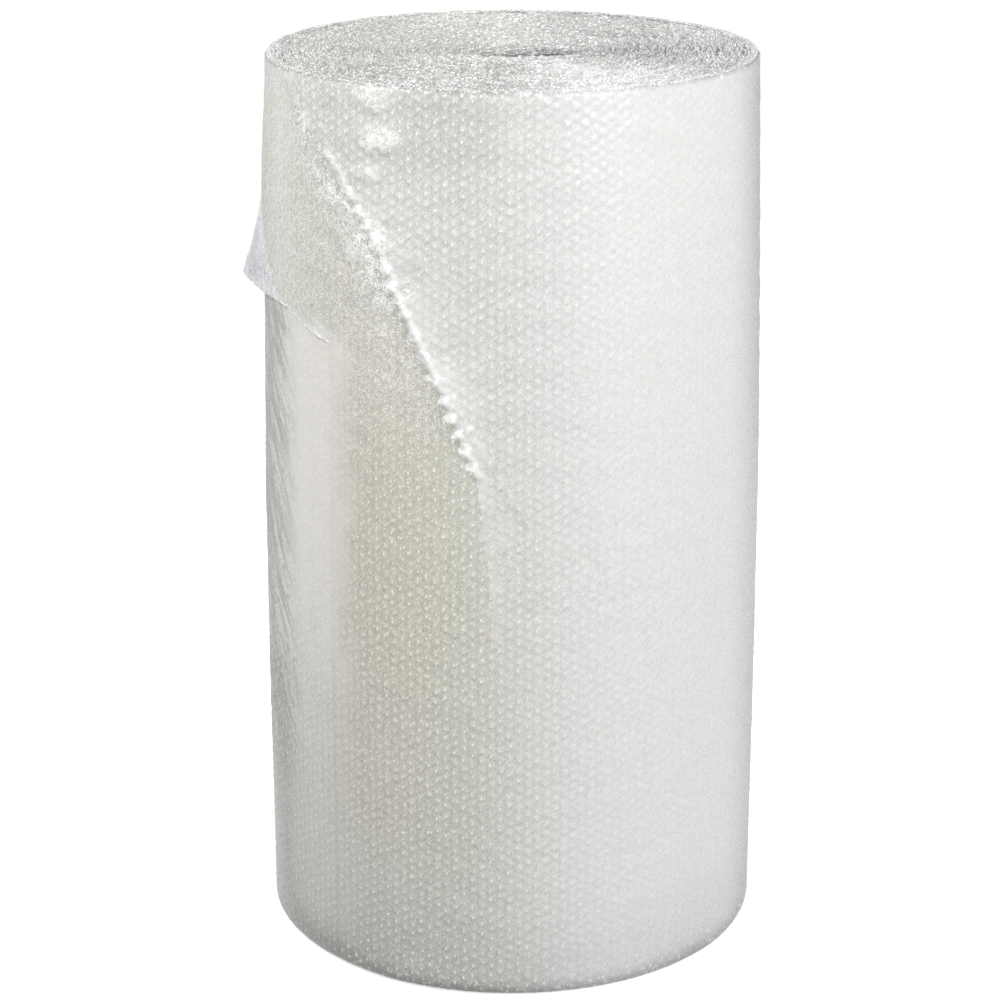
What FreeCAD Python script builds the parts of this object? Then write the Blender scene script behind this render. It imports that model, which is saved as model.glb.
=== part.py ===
"""A roll of bubble wrap standing on one end, in millimetres.

The origin is on the floor, on the roll's axis, with +Z up. The front of the roll faces -Y.
Bearings are in degrees round the roll, from the front (-Y) towards the left (-X).
The roll is one long web of bubble film, wound on itself with no core, so it is one solid.
"""

import FreeCAD, Part

import math
import os

# Web and roll
web_width = 1000.0
film_thickness = 4.0
body_radius = 278.5
top_radius = 267.5
taper_height = 500.0
foot_rounding = 14.0
shoulder_rounding = 9.0

# Turns that show on both ends, each ridge a bundle of tightly wound turns
bundle_pitch = 16.0
bundle_depth = 8.0
flat_centre_radius = 80.0
rim_width = 10.0

# Centre of the roll, pressed flat into a slit
slit_length = 90.0
slit_width = 16.0
slit_to_right = 25.0
slit_to_front = 15.0
slit_turn = 17.0

# Free end of the web: low down it stops at one bearing, and above a tear it wraps on further
free_edge_bearing = 44.0
wrapped_on_bearing = 89.0
tear_drop = 255.0
tear_slope_rise = 26.0
tear_slope_bearing = 60.0

# Corner between the tear and the wrapped-on edge, folded out from the roll's side
corner_root_bearing = 66.0
corner_height = 105.0
corner_stand_off = 21.5
corner_tip_rise = 6.0

# Folds in the loose outer turn, as bearings and drops below the top edge
main_fold_path = [(55.0, 30.0), (39.5, 102.0), (31.0, 160.0), (15.5, 310.0), (7.0, 405.0)]
main_fold_half_width = 7.0
main_fold_height = 6.0
faint_fold_path = [(29.0, 190.0), (13.0, 322.0), (-3.0, 453.0)]
faint_fold_half_width = 9.0
faint_fold_height = 2.5
fold_run = 25.0
fold_seat = 1.5

# Room past the surface for shapes that are only used to trim others
spare = 30.0

# A web wound on itself shrinks by one thickness a turn. Two half turns round centres
# a quarter of that thickness either side of the axis follow it with true arcs.
lap_shift = film_thickness / 4
bundle_shift = bundle_pitch / 4
widest_radius = max(body_radius, top_radius)


def side_radius(height):
    """The mean radius of the roll's side: straight low down, then narrower to the top."""
    taper_start = web_width - taper_height
    if height <= taper_start:
        return body_radius
    share = (height - taper_start) / taper_height
    return body_radius + (top_radius - body_radius) * share


def outer_radius(bearing, height):
    """The radius of the loose outer turn, which grows towards the free edge."""
    turns_from_edge = (free_edge_bearing - bearing) / 360
    return side_radius(height) + 2 * lap_shift - film_thickness * turns_from_edge


def on_bearing(bearing, radius, height):
    """A point at a bearing, a radius and a height."""
    angle = math.radians(bearing)
    return FreeCAD.Vector(-radius * math.sin(angle), -radius * math.cos(angle), height)


def turned_about(shape, centre_x, start, sweep):
    """A face in the XZ plane swept about the upright line at centre_x, from the start angle."""
    face = shape.copy()
    face.translate(FreeCAD.Vector(centre_x, 0, 0))
    centre = FreeCAD.Vector(centre_x, 0, 0)
    up = FreeCAD.Vector(0, 0, 1)
    face.rotate(centre, up, start)
    return face.revolve(centre, up, sweep)


def billet_face(extra):
    """Half the roll's outline, its radius changed by extra, with eased ends left proud."""
    foot = eased_edge(body_radius, foot_rounding)
    shoulder = [(r, web_width - drop) for r, drop in eased_edge(top_radius, shoulder_rounding)]
    outline = foot + [(body_radius, web_width - taper_height)] + shoulder[::-1]
    points = [FreeCAD.Vector(0, 0, -spare)]
    points += [FreeCAD.Vector(radius + extra, 0, height) for radius, height in outline]
    points += [FreeCAD.Vector(0, 0, web_width + spare)]
    return Part.Face(Part.makePolygon(points + points[:1]))


def eased_edge(radius, rounding):
    """Radii and distances from the end: two bevels that follow a quarter round."""
    inset = rounding * (1 - math.sqrt(0.5))
    return [(radius - rounding, 0), (radius - inset, inset), (radius, rounding)]


def make_billet():
    """The wound roll's outside: one turn in two halves, and the stretch that wraps on."""
    first_half = turned_about(billet_face(lap_shift), lap_shift, 0, 180)
    second_half = turned_about(billet_face(-lap_shift), -lap_shift, 180, 180)
    wrapped_on = wrapped_on_bearing - free_edge_bearing
    stretch = turned_about(billet_face(3 * lap_shift), -lap_shift, -wrapped_on, wrapped_on)
    billet = first_half.fuse(second_half)
    for shape in (billet, stretch):
        shape.rotate(FreeCAD.Vector(), FreeCAD.Vector(0, 0, 1), 270 - free_edge_bearing)
    return billet.fuse(stretch.common(above_tear()))


def above_tear():
    """The room above the torn edge: it slopes up from the free edge, runs level, and then
    climbs along the fold of the turned-out corner."""
    level = web_width - tear_drop
    along = [
        (free_edge_bearing, level - tear_slope_rise),
        (tear_slope_bearing, level),
        (corner_root_bearing, level),
        (wrapped_on_bearing, level + corner_height),
    ]
    middle_bearing = (free_edge_bearing + wrapped_on_bearing) / 2
    outline = []
    for bearing, height in along:
        reach = body_radius * math.sin(math.radians(bearing - middle_bearing))
        outline.append((reach, height))
    far = widest_radius + spare
    roof = web_width + 2 * spare
    outline = [(-far, outline[0][1])] + outline + [(far, outline[-1][1]), (far, roof), (-far, roof)]
    return standing_prism(outline, middle_bearing, far)


def standing_prism(outline, bearing, reach):
    """An upright outline (along the roll to the left, height), pushed out along a bearing."""
    leftward = on_bearing(bearing + 90, 1, 0)
    points = [leftward * along + FreeCAD.Vector(0, 0, height) for along, height in outline]
    face = Part.Face(Part.makePolygon(points + points[:1]))
    return face.extrude(on_bearing(bearing, reach, 0))


def bundle_face(first_crest):
    """Half the roll's outline with ridged ends and a flat rim, wider than the roll."""
    ridged_width = top_radius - rim_width - first_crest
    steps = 2 * math.floor(ridged_width / bundle_pitch)
    radii = [first_crest + bundle_pitch / 2 * i for i in range(steps + 1)]
    depths = [bundle_depth * (i % 2) for i in range(steps + 1)]
    foot = [FreeCAD.Vector(radius, 0, depth) for radius, depth in zip(radii, depths)]
    foot.append(FreeCAD.Vector(widest_radius + spare, 0, 0))
    top = [FreeCAD.Vector(point.x, 0, web_width - point.z) for point in reversed(foot)]
    points = [FreeCAD.Vector(0, 0, 0)] + foot + top + [FreeCAD.Vector(0, 0, web_width)]
    return Part.Face(Part.makePolygon(points + points[:1]))


def make_bundles():
    """Turns wound round each other, as ridges that close in by one pitch a turn."""
    first_half = turned_about(bundle_face(flat_centre_radius), bundle_shift, 0, 180)
    inner_crest = flat_centre_radius - bundle_pitch / 2
    second_half = turned_about(bundle_face(inner_crest), -bundle_shift, 180, 180)
    bundles = first_half.fuse(second_half)
    bundles.rotate(FreeCAD.Vector(), FreeCAD.Vector(0, 0, 1), 270 - free_edge_bearing)
    return bundles


def make_slit():
    """The flattened centre: two arcs that meet in sharp ends, right through the roll."""
    half_length = slit_length / 2
    half_width = slit_width / 2
    ends = [FreeCAD.Vector(side * half_length, 0, -spare) for side in (-1, 1)]
    front = Part.Arc(ends[0], FreeCAD.Vector(0, -half_width, -spare), ends[1])
    back = Part.Arc(ends[1], FreeCAD.Vector(0, half_width, -spare), ends[0])
    face = Part.Face(Part.Wire([front.toShape(), back.toShape()]))
    slit = face.extrude(FreeCAD.Vector(0, 0, web_width + 2 * spare))
    slit.rotate(FreeCAD.Vector(), FreeCAD.Vector(0, 0, 1), slit_turn)
    slit.translate(FreeCAD.Vector(slit_to_right, -slit_to_front, 0))
    return slit


def make_corner():
    """The turned-out corner: a flat triangle of film, hinged on the fold that cuts it off."""
    level = web_width - tear_drop
    fold_top = level + corner_height
    root = on_bearing(corner_root_bearing, outer_radius(corner_root_bearing, level), level)
    top = on_bearing(wrapped_on_bearing, outer_radius(wrapped_on_bearing, fold_top), fold_top)
    tip_radius = outer_radius(wrapped_on_bearing, level) + corner_stand_off
    tip = on_bearing(wrapped_on_bearing, tip_radius, level + corner_tip_rise)
    across = (tip - root).cross(top - root)
    inward = across * (film_thickness / across.Length)
    if inward.dot(root) > 0:
        inward = inward * -1
    face = Part.Face(Part.makePolygon([root, tip, top, root]))
    return face.extrude(inward)


def spaced_along(path):
    """The path's points as distances round the roll and heights, with short even runs."""
    corners = [(body_radius * math.radians(b), web_width - drop) for b, drop in path]
    stations = [corners[0]]
    for (u0, z0), (u1, z1) in zip(corners, corners[1:]):
        count = math.ceil(math.hypot(u1 - u0, z1 - z0) / fold_run)
        for i in range(1, count + 1):
            stations.append((u0 + (u1 - u0) * i / count, z0 + (z1 - z0) * i / count))
    return stations


def on_outer_turn(around, height, lift):
    """A point a little above or below the outer turn."""
    bearing = math.degrees(around / body_radius)
    return on_bearing(bearing, outer_radius(bearing, height) + lift, height)


def make_fold(path, half_width, crest):
    """A sharp fold that stands up from the outer turn and dies away at both ends."""
    stations = spaced_along(path)
    sections = []
    for (u0, z0), (u, z), (u1, z1) in zip(stations, stations[1:], stations[2:]):
        run = math.hypot(u1 - u0, z1 - z0)
        across_u = -(z1 - z0) / run * half_width
        across_z = (u1 - u0) / run * half_width
        sections.append([
            on_outer_turn(u + across_u, z + across_z, -fold_seat),
            on_outer_turn(u, z, crest),
            on_outer_turn(u - across_u, z - across_z, -fold_seat),
        ])
    first_tip = on_outer_turn(*stations[0], -fold_seat)
    last_tip = on_outer_turn(*stations[-1], -fold_seat)
    triangles = []
    for k in range(3):
        following = (k + 1) % 3
        triangles.append((first_tip, sections[0][k], sections[0][following]))
        triangles.append((last_tip, sections[-1][k], sections[-1][following]))
        for here, there in zip(sections, sections[1:]):
            triangles.append((here[k], here[following], there[k]))
            triangles.append((there[k], there[following], here[following]))
    faces = [Part.Face(Part.makePolygon([a, b, c, a])) for a, b, c in triangles]
    fold = Part.Solid(Part.Shell(faces))
    if fold.Volume < 0:
        fold.reverse()
    return fold


def make_roll():
    """The whole wound web."""
    roll = make_billet().common(make_bundles())
    roll = roll.fuse([
        make_corner(),
        make_fold(main_fold_path, main_fold_half_width, main_fold_height),
        make_fold(faint_fold_path, faint_fold_half_width, faint_fold_height),
    ])
    roll = roll.cut(make_slit())
    return roll.removeSplitter()


os.makedirs("parts", exist_ok=True)
make_roll().exportStep("parts/wound_bubble_film.step")
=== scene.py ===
"""A roll of bubble wrap standing on its end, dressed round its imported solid.

One long web of bubble film is wound on itself with no core. Points on the web are given in
metres by how far round it they lie, from its outermost edge, and how far up its width.
Bearings are degrees round the roll from the front (-Y) towards the left (-X).
"""

import logging
import math
from dataclasses import dataclass
from enum import Enum
from functools import reduce

import bpy
import numpy as np
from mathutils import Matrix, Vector


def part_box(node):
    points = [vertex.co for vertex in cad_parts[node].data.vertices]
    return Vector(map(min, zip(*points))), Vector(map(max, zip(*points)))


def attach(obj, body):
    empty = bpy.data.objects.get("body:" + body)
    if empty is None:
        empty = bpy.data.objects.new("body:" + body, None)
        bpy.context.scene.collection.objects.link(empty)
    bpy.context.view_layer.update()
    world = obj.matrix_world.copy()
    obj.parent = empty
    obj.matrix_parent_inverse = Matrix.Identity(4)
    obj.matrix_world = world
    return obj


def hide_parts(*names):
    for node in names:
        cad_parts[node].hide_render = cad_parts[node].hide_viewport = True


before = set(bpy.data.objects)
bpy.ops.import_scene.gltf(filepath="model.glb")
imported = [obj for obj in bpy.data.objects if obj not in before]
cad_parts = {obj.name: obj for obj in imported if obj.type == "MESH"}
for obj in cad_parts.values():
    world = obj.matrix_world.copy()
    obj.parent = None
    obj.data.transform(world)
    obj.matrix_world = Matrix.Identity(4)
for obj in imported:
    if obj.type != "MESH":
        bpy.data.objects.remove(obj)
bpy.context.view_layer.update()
LOG = logging.getLogger("bubble_wrap_roll")
BODY = "root"
NODE = "wound_bubble_film"
WEB_UV = "web"
MM = 0.001


def soft_noise(x: np.ndarray, y: np.ndarray, seed: int) -> np.ndarray:
    """Smooth random values between -1 and 1 that change over about one unit.

    Args:
        x: First coordinate of each point.
        y: Second coordinate of each point.
        seed: Picks the random pattern.

    Returns:
        One value a point.
    """
    size = 97
    table = np.random.default_rng(seed).uniform(-1, 1, (size, size))
    column = np.floor(x).astype(int)
    row = np.floor(y).astype(int)
    fx = x - column
    fy = y - row
    fx = fx * fx * (3 - 2 * fx)
    fy = fy * fy * (3 - 2 * fy)
    right = (column + 1) % size
    far_row = (row + 1) % size
    column = column % size
    row = row % size
    near = table[column, row] * (1 - fx) + table[right, row] * fx
    far = table[column, far_row] * (1 - fx) + table[right, far_row] * fx
    return near * (1 - fy) + far * fy


def smooth_step(low: float, high: float, value: np.ndarray) -> np.ndarray:
    """A soft ramp from 0 at low to 1 at high."""
    share = np.clip((value - low) / (high - low), 0, 1)
    return share * share * (3 - 2 * share)


def distance_to_path(u: np.ndarray, v: np.ndarray, path: list[tuple[float, float]]) -> tuple:
    """Measures points against a path of straight runs on the unrolled web.

    Args:
        u: Distance round the roll of each point.
        v: Height of each point.
        path: The path's corners, as distances and heights.

    Returns:
        The distance to the path, the distance along it, which side each point is on, and the
        path's length.
    """
    best = np.full(u.shape, np.inf)
    along = np.zeros(u.shape)
    side = np.zeros(u.shape)
    length = 0.0
    for (u0, v0), (u1, v1) in zip(path, path[1:]):
        run = math.hypot(u1 - u0, v1 - v0)
        tu = (u1 - u0) / run
        tv = (v1 - v0) / run
        t = np.clip((u - u0) * tu + (v - v0) * tv, 0, run)
        away = np.hypot(u - u0 - t * tu, v - v0 - t * tv)
        closer = away < best
        best = np.where(closer, away, best)
        along = np.where(closer, length + t, along)
        side = np.where(closer, np.sign((u - u0) * tv - (v - v0) * tu), side)
        length += run
    return best, along, side, length


def in_scene(name: str, data: bpy.types.ID) -> bpy.types.Object:
    """Makes an object and links it to the scene.

    Args:
        name: The object's name.
        data: The mesh, light or camera that it shows.

    Returns:
        The object.
    """
    made = bpy.data.objects.new(name, data)
    bpy.context.scene.collection.objects.link(made)
    return made


def make_piece(
    name: str,
    points: np.ndarray,
    faces: np.ndarray,
    web: np.ndarray,
    marks: dict["FilmMark", np.ndarray] | None = None,
    smooth: bool = True,
) -> bpy.types.Object:
    """Makes a mesh object from arrays.

    Args:
        name: The piece's name.
        points: Vertex positions, in metres.
        faces: Corner indices, one row a face.
        web: Where each vertex lies on the web, in metres, kept as its texture coordinates.
        marks: How strongly each vertex shows each state of the film.
        smooth: Whether the faces are shaded smooth.

    Returns:
        The new object, linked to the scene.
    """
    mesh = bpy.data.meshes.new(name)
    corners = faces.shape[1]
    mesh.vertices.add(len(points))
    mesh.vertices.foreach_set("co", points.astype(np.float32).ravel())
    mesh.loops.add(faces.size)
    mesh.loops.foreach_set("vertex_index", faces.astype(np.int32).ravel())
    mesh.polygons.add(len(faces))
    mesh.polygons.foreach_set("loop_start", np.arange(0, faces.size, corners, dtype=np.int32))
    mesh.polygons.foreach_set("use_smooth", np.full(len(faces), smooth))
    layer = mesh.uv_layers.new(name=WEB_UV)
    layer.data.foreach_set("uv", web[faces.ravel()].astype(np.float32).ravel())
    for mark, values in (marks or {}).items():
        layer = mesh.attributes.new(mark.value, "FLOAT", "POINT")
        layer.data.foreach_set("value", values.astype(np.float32))
    mesh.update(calc_edges=True)
    mesh.validate()
    return in_scene(name, mesh)


def drop_unused(points: np.ndarray, faces: np.ndarray, *more: np.ndarray) -> tuple:
    """Leaves out the vertices that no face uses.

    Args:
        points: Vertex positions.
        faces: Corner indices.
        more: Other arrays with one row a vertex.

    Returns:
        The points, the renumbered faces and the other arrays.
    """
    used, renumbered = np.unique(faces, return_inverse=True)
    faces = renumbered.reshape(faces.shape)
    return (points[used], faces, *(array[used] for array in more))


def rim_edges(faces: np.ndarray) -> np.ndarray:
    """Finds the edges that only one triangle uses.

    Args:
        faces: Corner indices, one row a triangle.

    Returns:
        The two ends of each edge, in its triangle's winding.
    """
    edges = np.concatenate([faces[:, [0, 1]], faces[:, [1, 2]], faces[:, [2, 0]]])
    key = np.sort(edges, axis=1)
    order = np.lexsort((key[:, 1], key[:, 0]))
    ordered = key[order]
    same = np.all(ordered[1:] == ordered[:-1], axis=1)
    single = np.ones(len(edges), dtype=bool)
    single[1:] &= ~same
    single[:-1] &= ~same
    return edges[order][single]


def rim_wall(edges: np.ndarray, step: int) -> np.ndarray:
    """Makes a wall between two rims with the same edges.

    Args:
        edges: The two ends of each edge of the first rim.
        step: How much later the second rim's vertices are numbered.

    Returns:
        The wall's triangles.
    """
    start = edges[:, 0]
    stop = edges[:, 1]
    near = np.stack([stop, start, start + step], -1)
    return np.concatenate([near, np.stack([stop, start + step, stop + step], -1)])


class FilmMark(Enum):
    """What changes over the film and is kept on the mesh.

    The states of the film go from 0 to 1. The shade is painted shade, the haze is milky film
    with painted light, and the creases are partly painted highlights and glints. The two that
    place a point by the main fold are in metres.
    """

    SHADE = "shade"
    CRUMPLE = "crumple"
    HAZE_AND_LIGHT = "haze_and_light"
    CREASE_AND_GLINT = "crease_and_glint"
    WARMTH = "warmth"
    SMOOTH = "smooth"
    FOLD_AWAY = "fold_away"
    FOLD_ALONG = "fold_along"


class End(Enum):
    """Which end of the roll a face of cut film edges is on."""

    TOP = "top"
    FOOT = "foot"


@dataclass(frozen=True)
class Winding:
    """The roll's outer form, and where each point of the web lies on it."""

    height: float
    body_radius: float
    top_radius: float = 267.5 * MM
    taper_height: float = 500.0 * MM
    foot_rounding: float = 14.0 * MM
    shoulder_rounding: float = 6.0 * MM
    film_thickness: float = 4.0 * MM
    free_edge_bearing: float = 44.0
    wrapped_on_bearing: float = 89.0
    tear_level_drop: float = 255.0 * MM
    tear_slope_rise: float = 26.0 * MM
    tear_slope_bearing: float = 60.0
    corner_root_bearing: float = 66.0
    corner_height: float = 105.0 * MM
    corner_stand_off: float = 21.5 * MM
    corner_tip_rise: float = 6.0 * MM

    @classmethod
    def from_frame(cls) -> "Winding":
        """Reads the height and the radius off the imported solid.

        Returns:
            The roll's form.
        """
        low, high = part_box(NODE)
        depth = high.y - low.y
        return cls(height=high.z - low.z, body_radius=depth / 2 - cls.film_thickness / 4)

    @property
    def tear_level(self) -> float:
        """The height of the level stretch of the tear."""
        return self.height - self.tear_level_drop

    @property
    def side_start(self) -> float:
        """How far up the web the straight side starts."""
        return self.foot_rounding * math.pi / 2

    @property
    def side_end(self) -> float:
        """How far up the web the straight side ends."""
        return self.side_start + self.height - self.foot_rounding - self.shoulder_rounding

    def bearing(self, u: np.ndarray) -> np.ndarray:
        """The bearing, not wrapped to one turn, of a distance round the web."""
        return self.wrapped_on_bearing - np.degrees(u / self.body_radius)

    def round_web(self, bearing: float) -> float:
        """The distance round the web of an unwrapped bearing."""
        return math.radians(self.wrapped_on_bearing - bearing) * self.body_radius

    def around(self, bearing: np.ndarray) -> np.ndarray:
        """The distance round the roll of a bearing, from the front to the left."""
        return np.radians(bearing) * self.body_radius

    def measure(
        self, path: tuple[tuple[float, float], ...], bearing: np.ndarray, z: np.ndarray
    ) -> tuple:
        """Measures points of the side against a path of bearings and drops below the top."""
        corners = [(-self.around(corner), self.height - drop) for corner, drop in path]
        return distance_to_path(-self.around(bearing), z, corners)

    def side_radius(self, z: np.ndarray) -> np.ndarray:
        """The roll's mean radius at a height."""
        share = np.clip((z - self.height + self.taper_height) / self.taper_height, 0, 1)
        return self.body_radius - (self.body_radius - self.top_radius) * share**1.15

    def turn_radius(self, bearing: np.ndarray, z: np.ndarray) -> np.ndarray:
        """The radius of the web's outermost two turns, which grows towards the outer edge."""
        turns_in = (self.free_edge_bearing - bearing) / 360
        return self.side_radius(z) + self.film_thickness * (0.5 - turns_in)

    def height_of(self, v: np.ndarray) -> np.ndarray:
        """The height above the floor of a distance up the web."""
        return self.profile(v)[1]

    def profile(self, v: np.ndarray) -> tuple[np.ndarray, np.ndarray, np.ndarray]:
        """Follows the side's section, from the foot's round to the shoulder's.

        Args:
            v: Distance up the web.

        Returns:
            The inset from the side, the height, and the tilt of the outward normal.
        """
        foot = np.clip(v / self.foot_rounding, 0, math.pi / 2)
        shoulder = np.clip((v - self.side_end) / self.shoulder_rounding, 0, math.pi / 2)
        straight = np.clip(v, self.side_start, self.side_end) - self.side_start
        inset = self.foot_rounding * (1 - np.sin(foot))
        inset = inset + self.shoulder_rounding * (1 - np.cos(shoulder))
        z = self.foot_rounding * (1 - np.cos(foot)) + straight
        z = z + self.shoulder_rounding * np.sin(shoulder)
        return inset, z, shoulder - (math.pi / 2 - foot)

    def place(self, u: np.ndarray, v: np.ndarray, lift: np.ndarray) -> np.ndarray:
        """Puts points of the web on the roll.

        Args:
            u: Distance round the web.
            v: Distance up the web.
            lift: How far each point stands off the smooth form.

        Returns:
            Positions, one row a point.
        """
        bearing = self.bearing(u)
        inset, z, tilt = self.profile(v)
        radius = self.turn_radius(bearing, z) - inset + lift * np.cos(tilt)
        angle = np.radians(bearing)
        z = np.maximum(z + lift * np.sin(tilt), 0)
        return np.stack([-radius * np.sin(angle), -radius * np.cos(angle), z], axis=-1)

    def tear_height(self, bearing: np.ndarray) -> np.ndarray:
        """Follows the torn edge, and past it the fold of the turned-out corner.

        Args:
            bearing: The unwrapped bearing of each point.

        Returns:
            The height of the edge at each bearing.
        """
        bearings = [
            self.free_edge_bearing,
            self.tear_slope_bearing,
            self.corner_root_bearing,
            self.wrapped_on_bearing,
        ]
        level = self.tear_level
        heights = [level - self.tear_slope_rise, level, level, level + self.corner_height]
        return np.interp(bearing, bearings, heights)


@dataclass(frozen=True)
class BubbleLattice:
    """Bubbles in close rows: columns up the web, each half a pitch out of step with the next."""

    pitch: float = 11.33 * MM
    seed: int = 11

    @property
    def column_gap(self) -> float:
        """The distance between two neighbouring columns."""
        return self.pitch * math.sqrt(0.75)

    def nearest(self, u: np.ndarray, v: np.ndarray) -> tuple[np.ndarray, ...]:
        """Finds the bubble that each point lies on.

        Args:
            u: Distance round the web.
            v: Distance up the web.

        Returns:
            The offsets from the bubble's centre, and the bubble's column and row.
        """
        best = None
        first = np.floor(u / self.column_gap)
        for column in (first, first + 1):
            shift = np.where(column % 2 == 0, 0.0, self.pitch / 2)
            row = np.round((v - shift) / self.pitch)
            du = u - column * self.column_gap
            dv = v - shift - row * self.pitch
            found = (np.hypot(du, dv), du, dv, column, row)
            if best is None:
                best = found
            else:
                closer = found[0] < best[0]
                best = tuple(np.where(closer, new, old) for new, old in zip(found, best))
        _, du, dv, column, row = best
        return du, dv, column.astype(int), row.astype(int)

    def per_bubble(self, column: np.ndarray, row: np.ndarray, kind: int) -> np.ndarray:
        """A random value between 0 and 1 for each bubble."""
        table = np.random.default_rng(self.seed + kind).uniform(0, 1, (251, 127))
        return table[column % 251, row % 127]


@dataclass(frozen=True)
class Fold:
    """A sharp fold in the loose outer turn, as bearings and drops below the top."""

    path: tuple[tuple[float, float], ...]
    half_width: float
    height: float
    shelf: float
    lump: float
    lump_length: float = 21.0 * MM
    fade_in: tuple[float, float] = (0.0, 0.08)

    def measure(self, form: Winding, bearing: np.ndarray, z: np.ndarray) -> tuple:
        """Measures points against the fold.

        Args:
            form: The roll that the fold lies on.
            bearing: The bearing of each point.
            z: The height of each point.

        Returns:
            The distance to the fold, the distance along it, which side each point is on,
            and how far the fold has faded out at its ends.
        """
        away, along, side, length = form.measure(self.path, bearing, z)
        fade = smooth_step(*self.fade_in, along / length) * smooth_step(1.03, 0.985, along / length)
        return away, along, side, fade

    def beads(self, along: np.ndarray) -> np.ndarray:
        """Works out the beads of pinched bubbles along the fold.

        Args:
            along: The distance along the fold of each point.

        Returns:
            The fullness of the crest, 1 at each bead's middle.
        """
        wander = 0.22 * soft_noise(along / 0.05, along * 0, 17)
        beat = 0.5 + 0.5 * np.cos(2 * math.pi * (along / self.lump_length + wander))
        return 1 - self.lump * (1 - beat)


@dataclass(frozen=True)
class FilmPlaces:
    """Points of the side's film, and what their state depends on.

    Outermost, facing and tight are 1 on the outermost turn, on the stretch of it that has
    the main fold, and where the film clings to the roll. Loose is how far a point is into
    the loose film, in metres.
    """

    web: np.ndarray
    bearing: np.ndarray
    z: np.ndarray
    around: np.ndarray
    outermost: np.ndarray
    facing: np.ndarray
    tight: np.ndarray
    loose: np.ndarray


@dataclass(frozen=True)
class Pillow:
    """A bulge where the loose outer turn bags below the top edge."""

    bearing: float
    height: float
    half_width: float
    half_height: float
    lift: float


MAIN_FOLD = (
    (55.0, 30 * MM),
    (39.5, 102 * MM),
    (31.0, 160 * MM),
    (15.5, 310 * MM),
    (7.0, 405 * MM),
)


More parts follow.
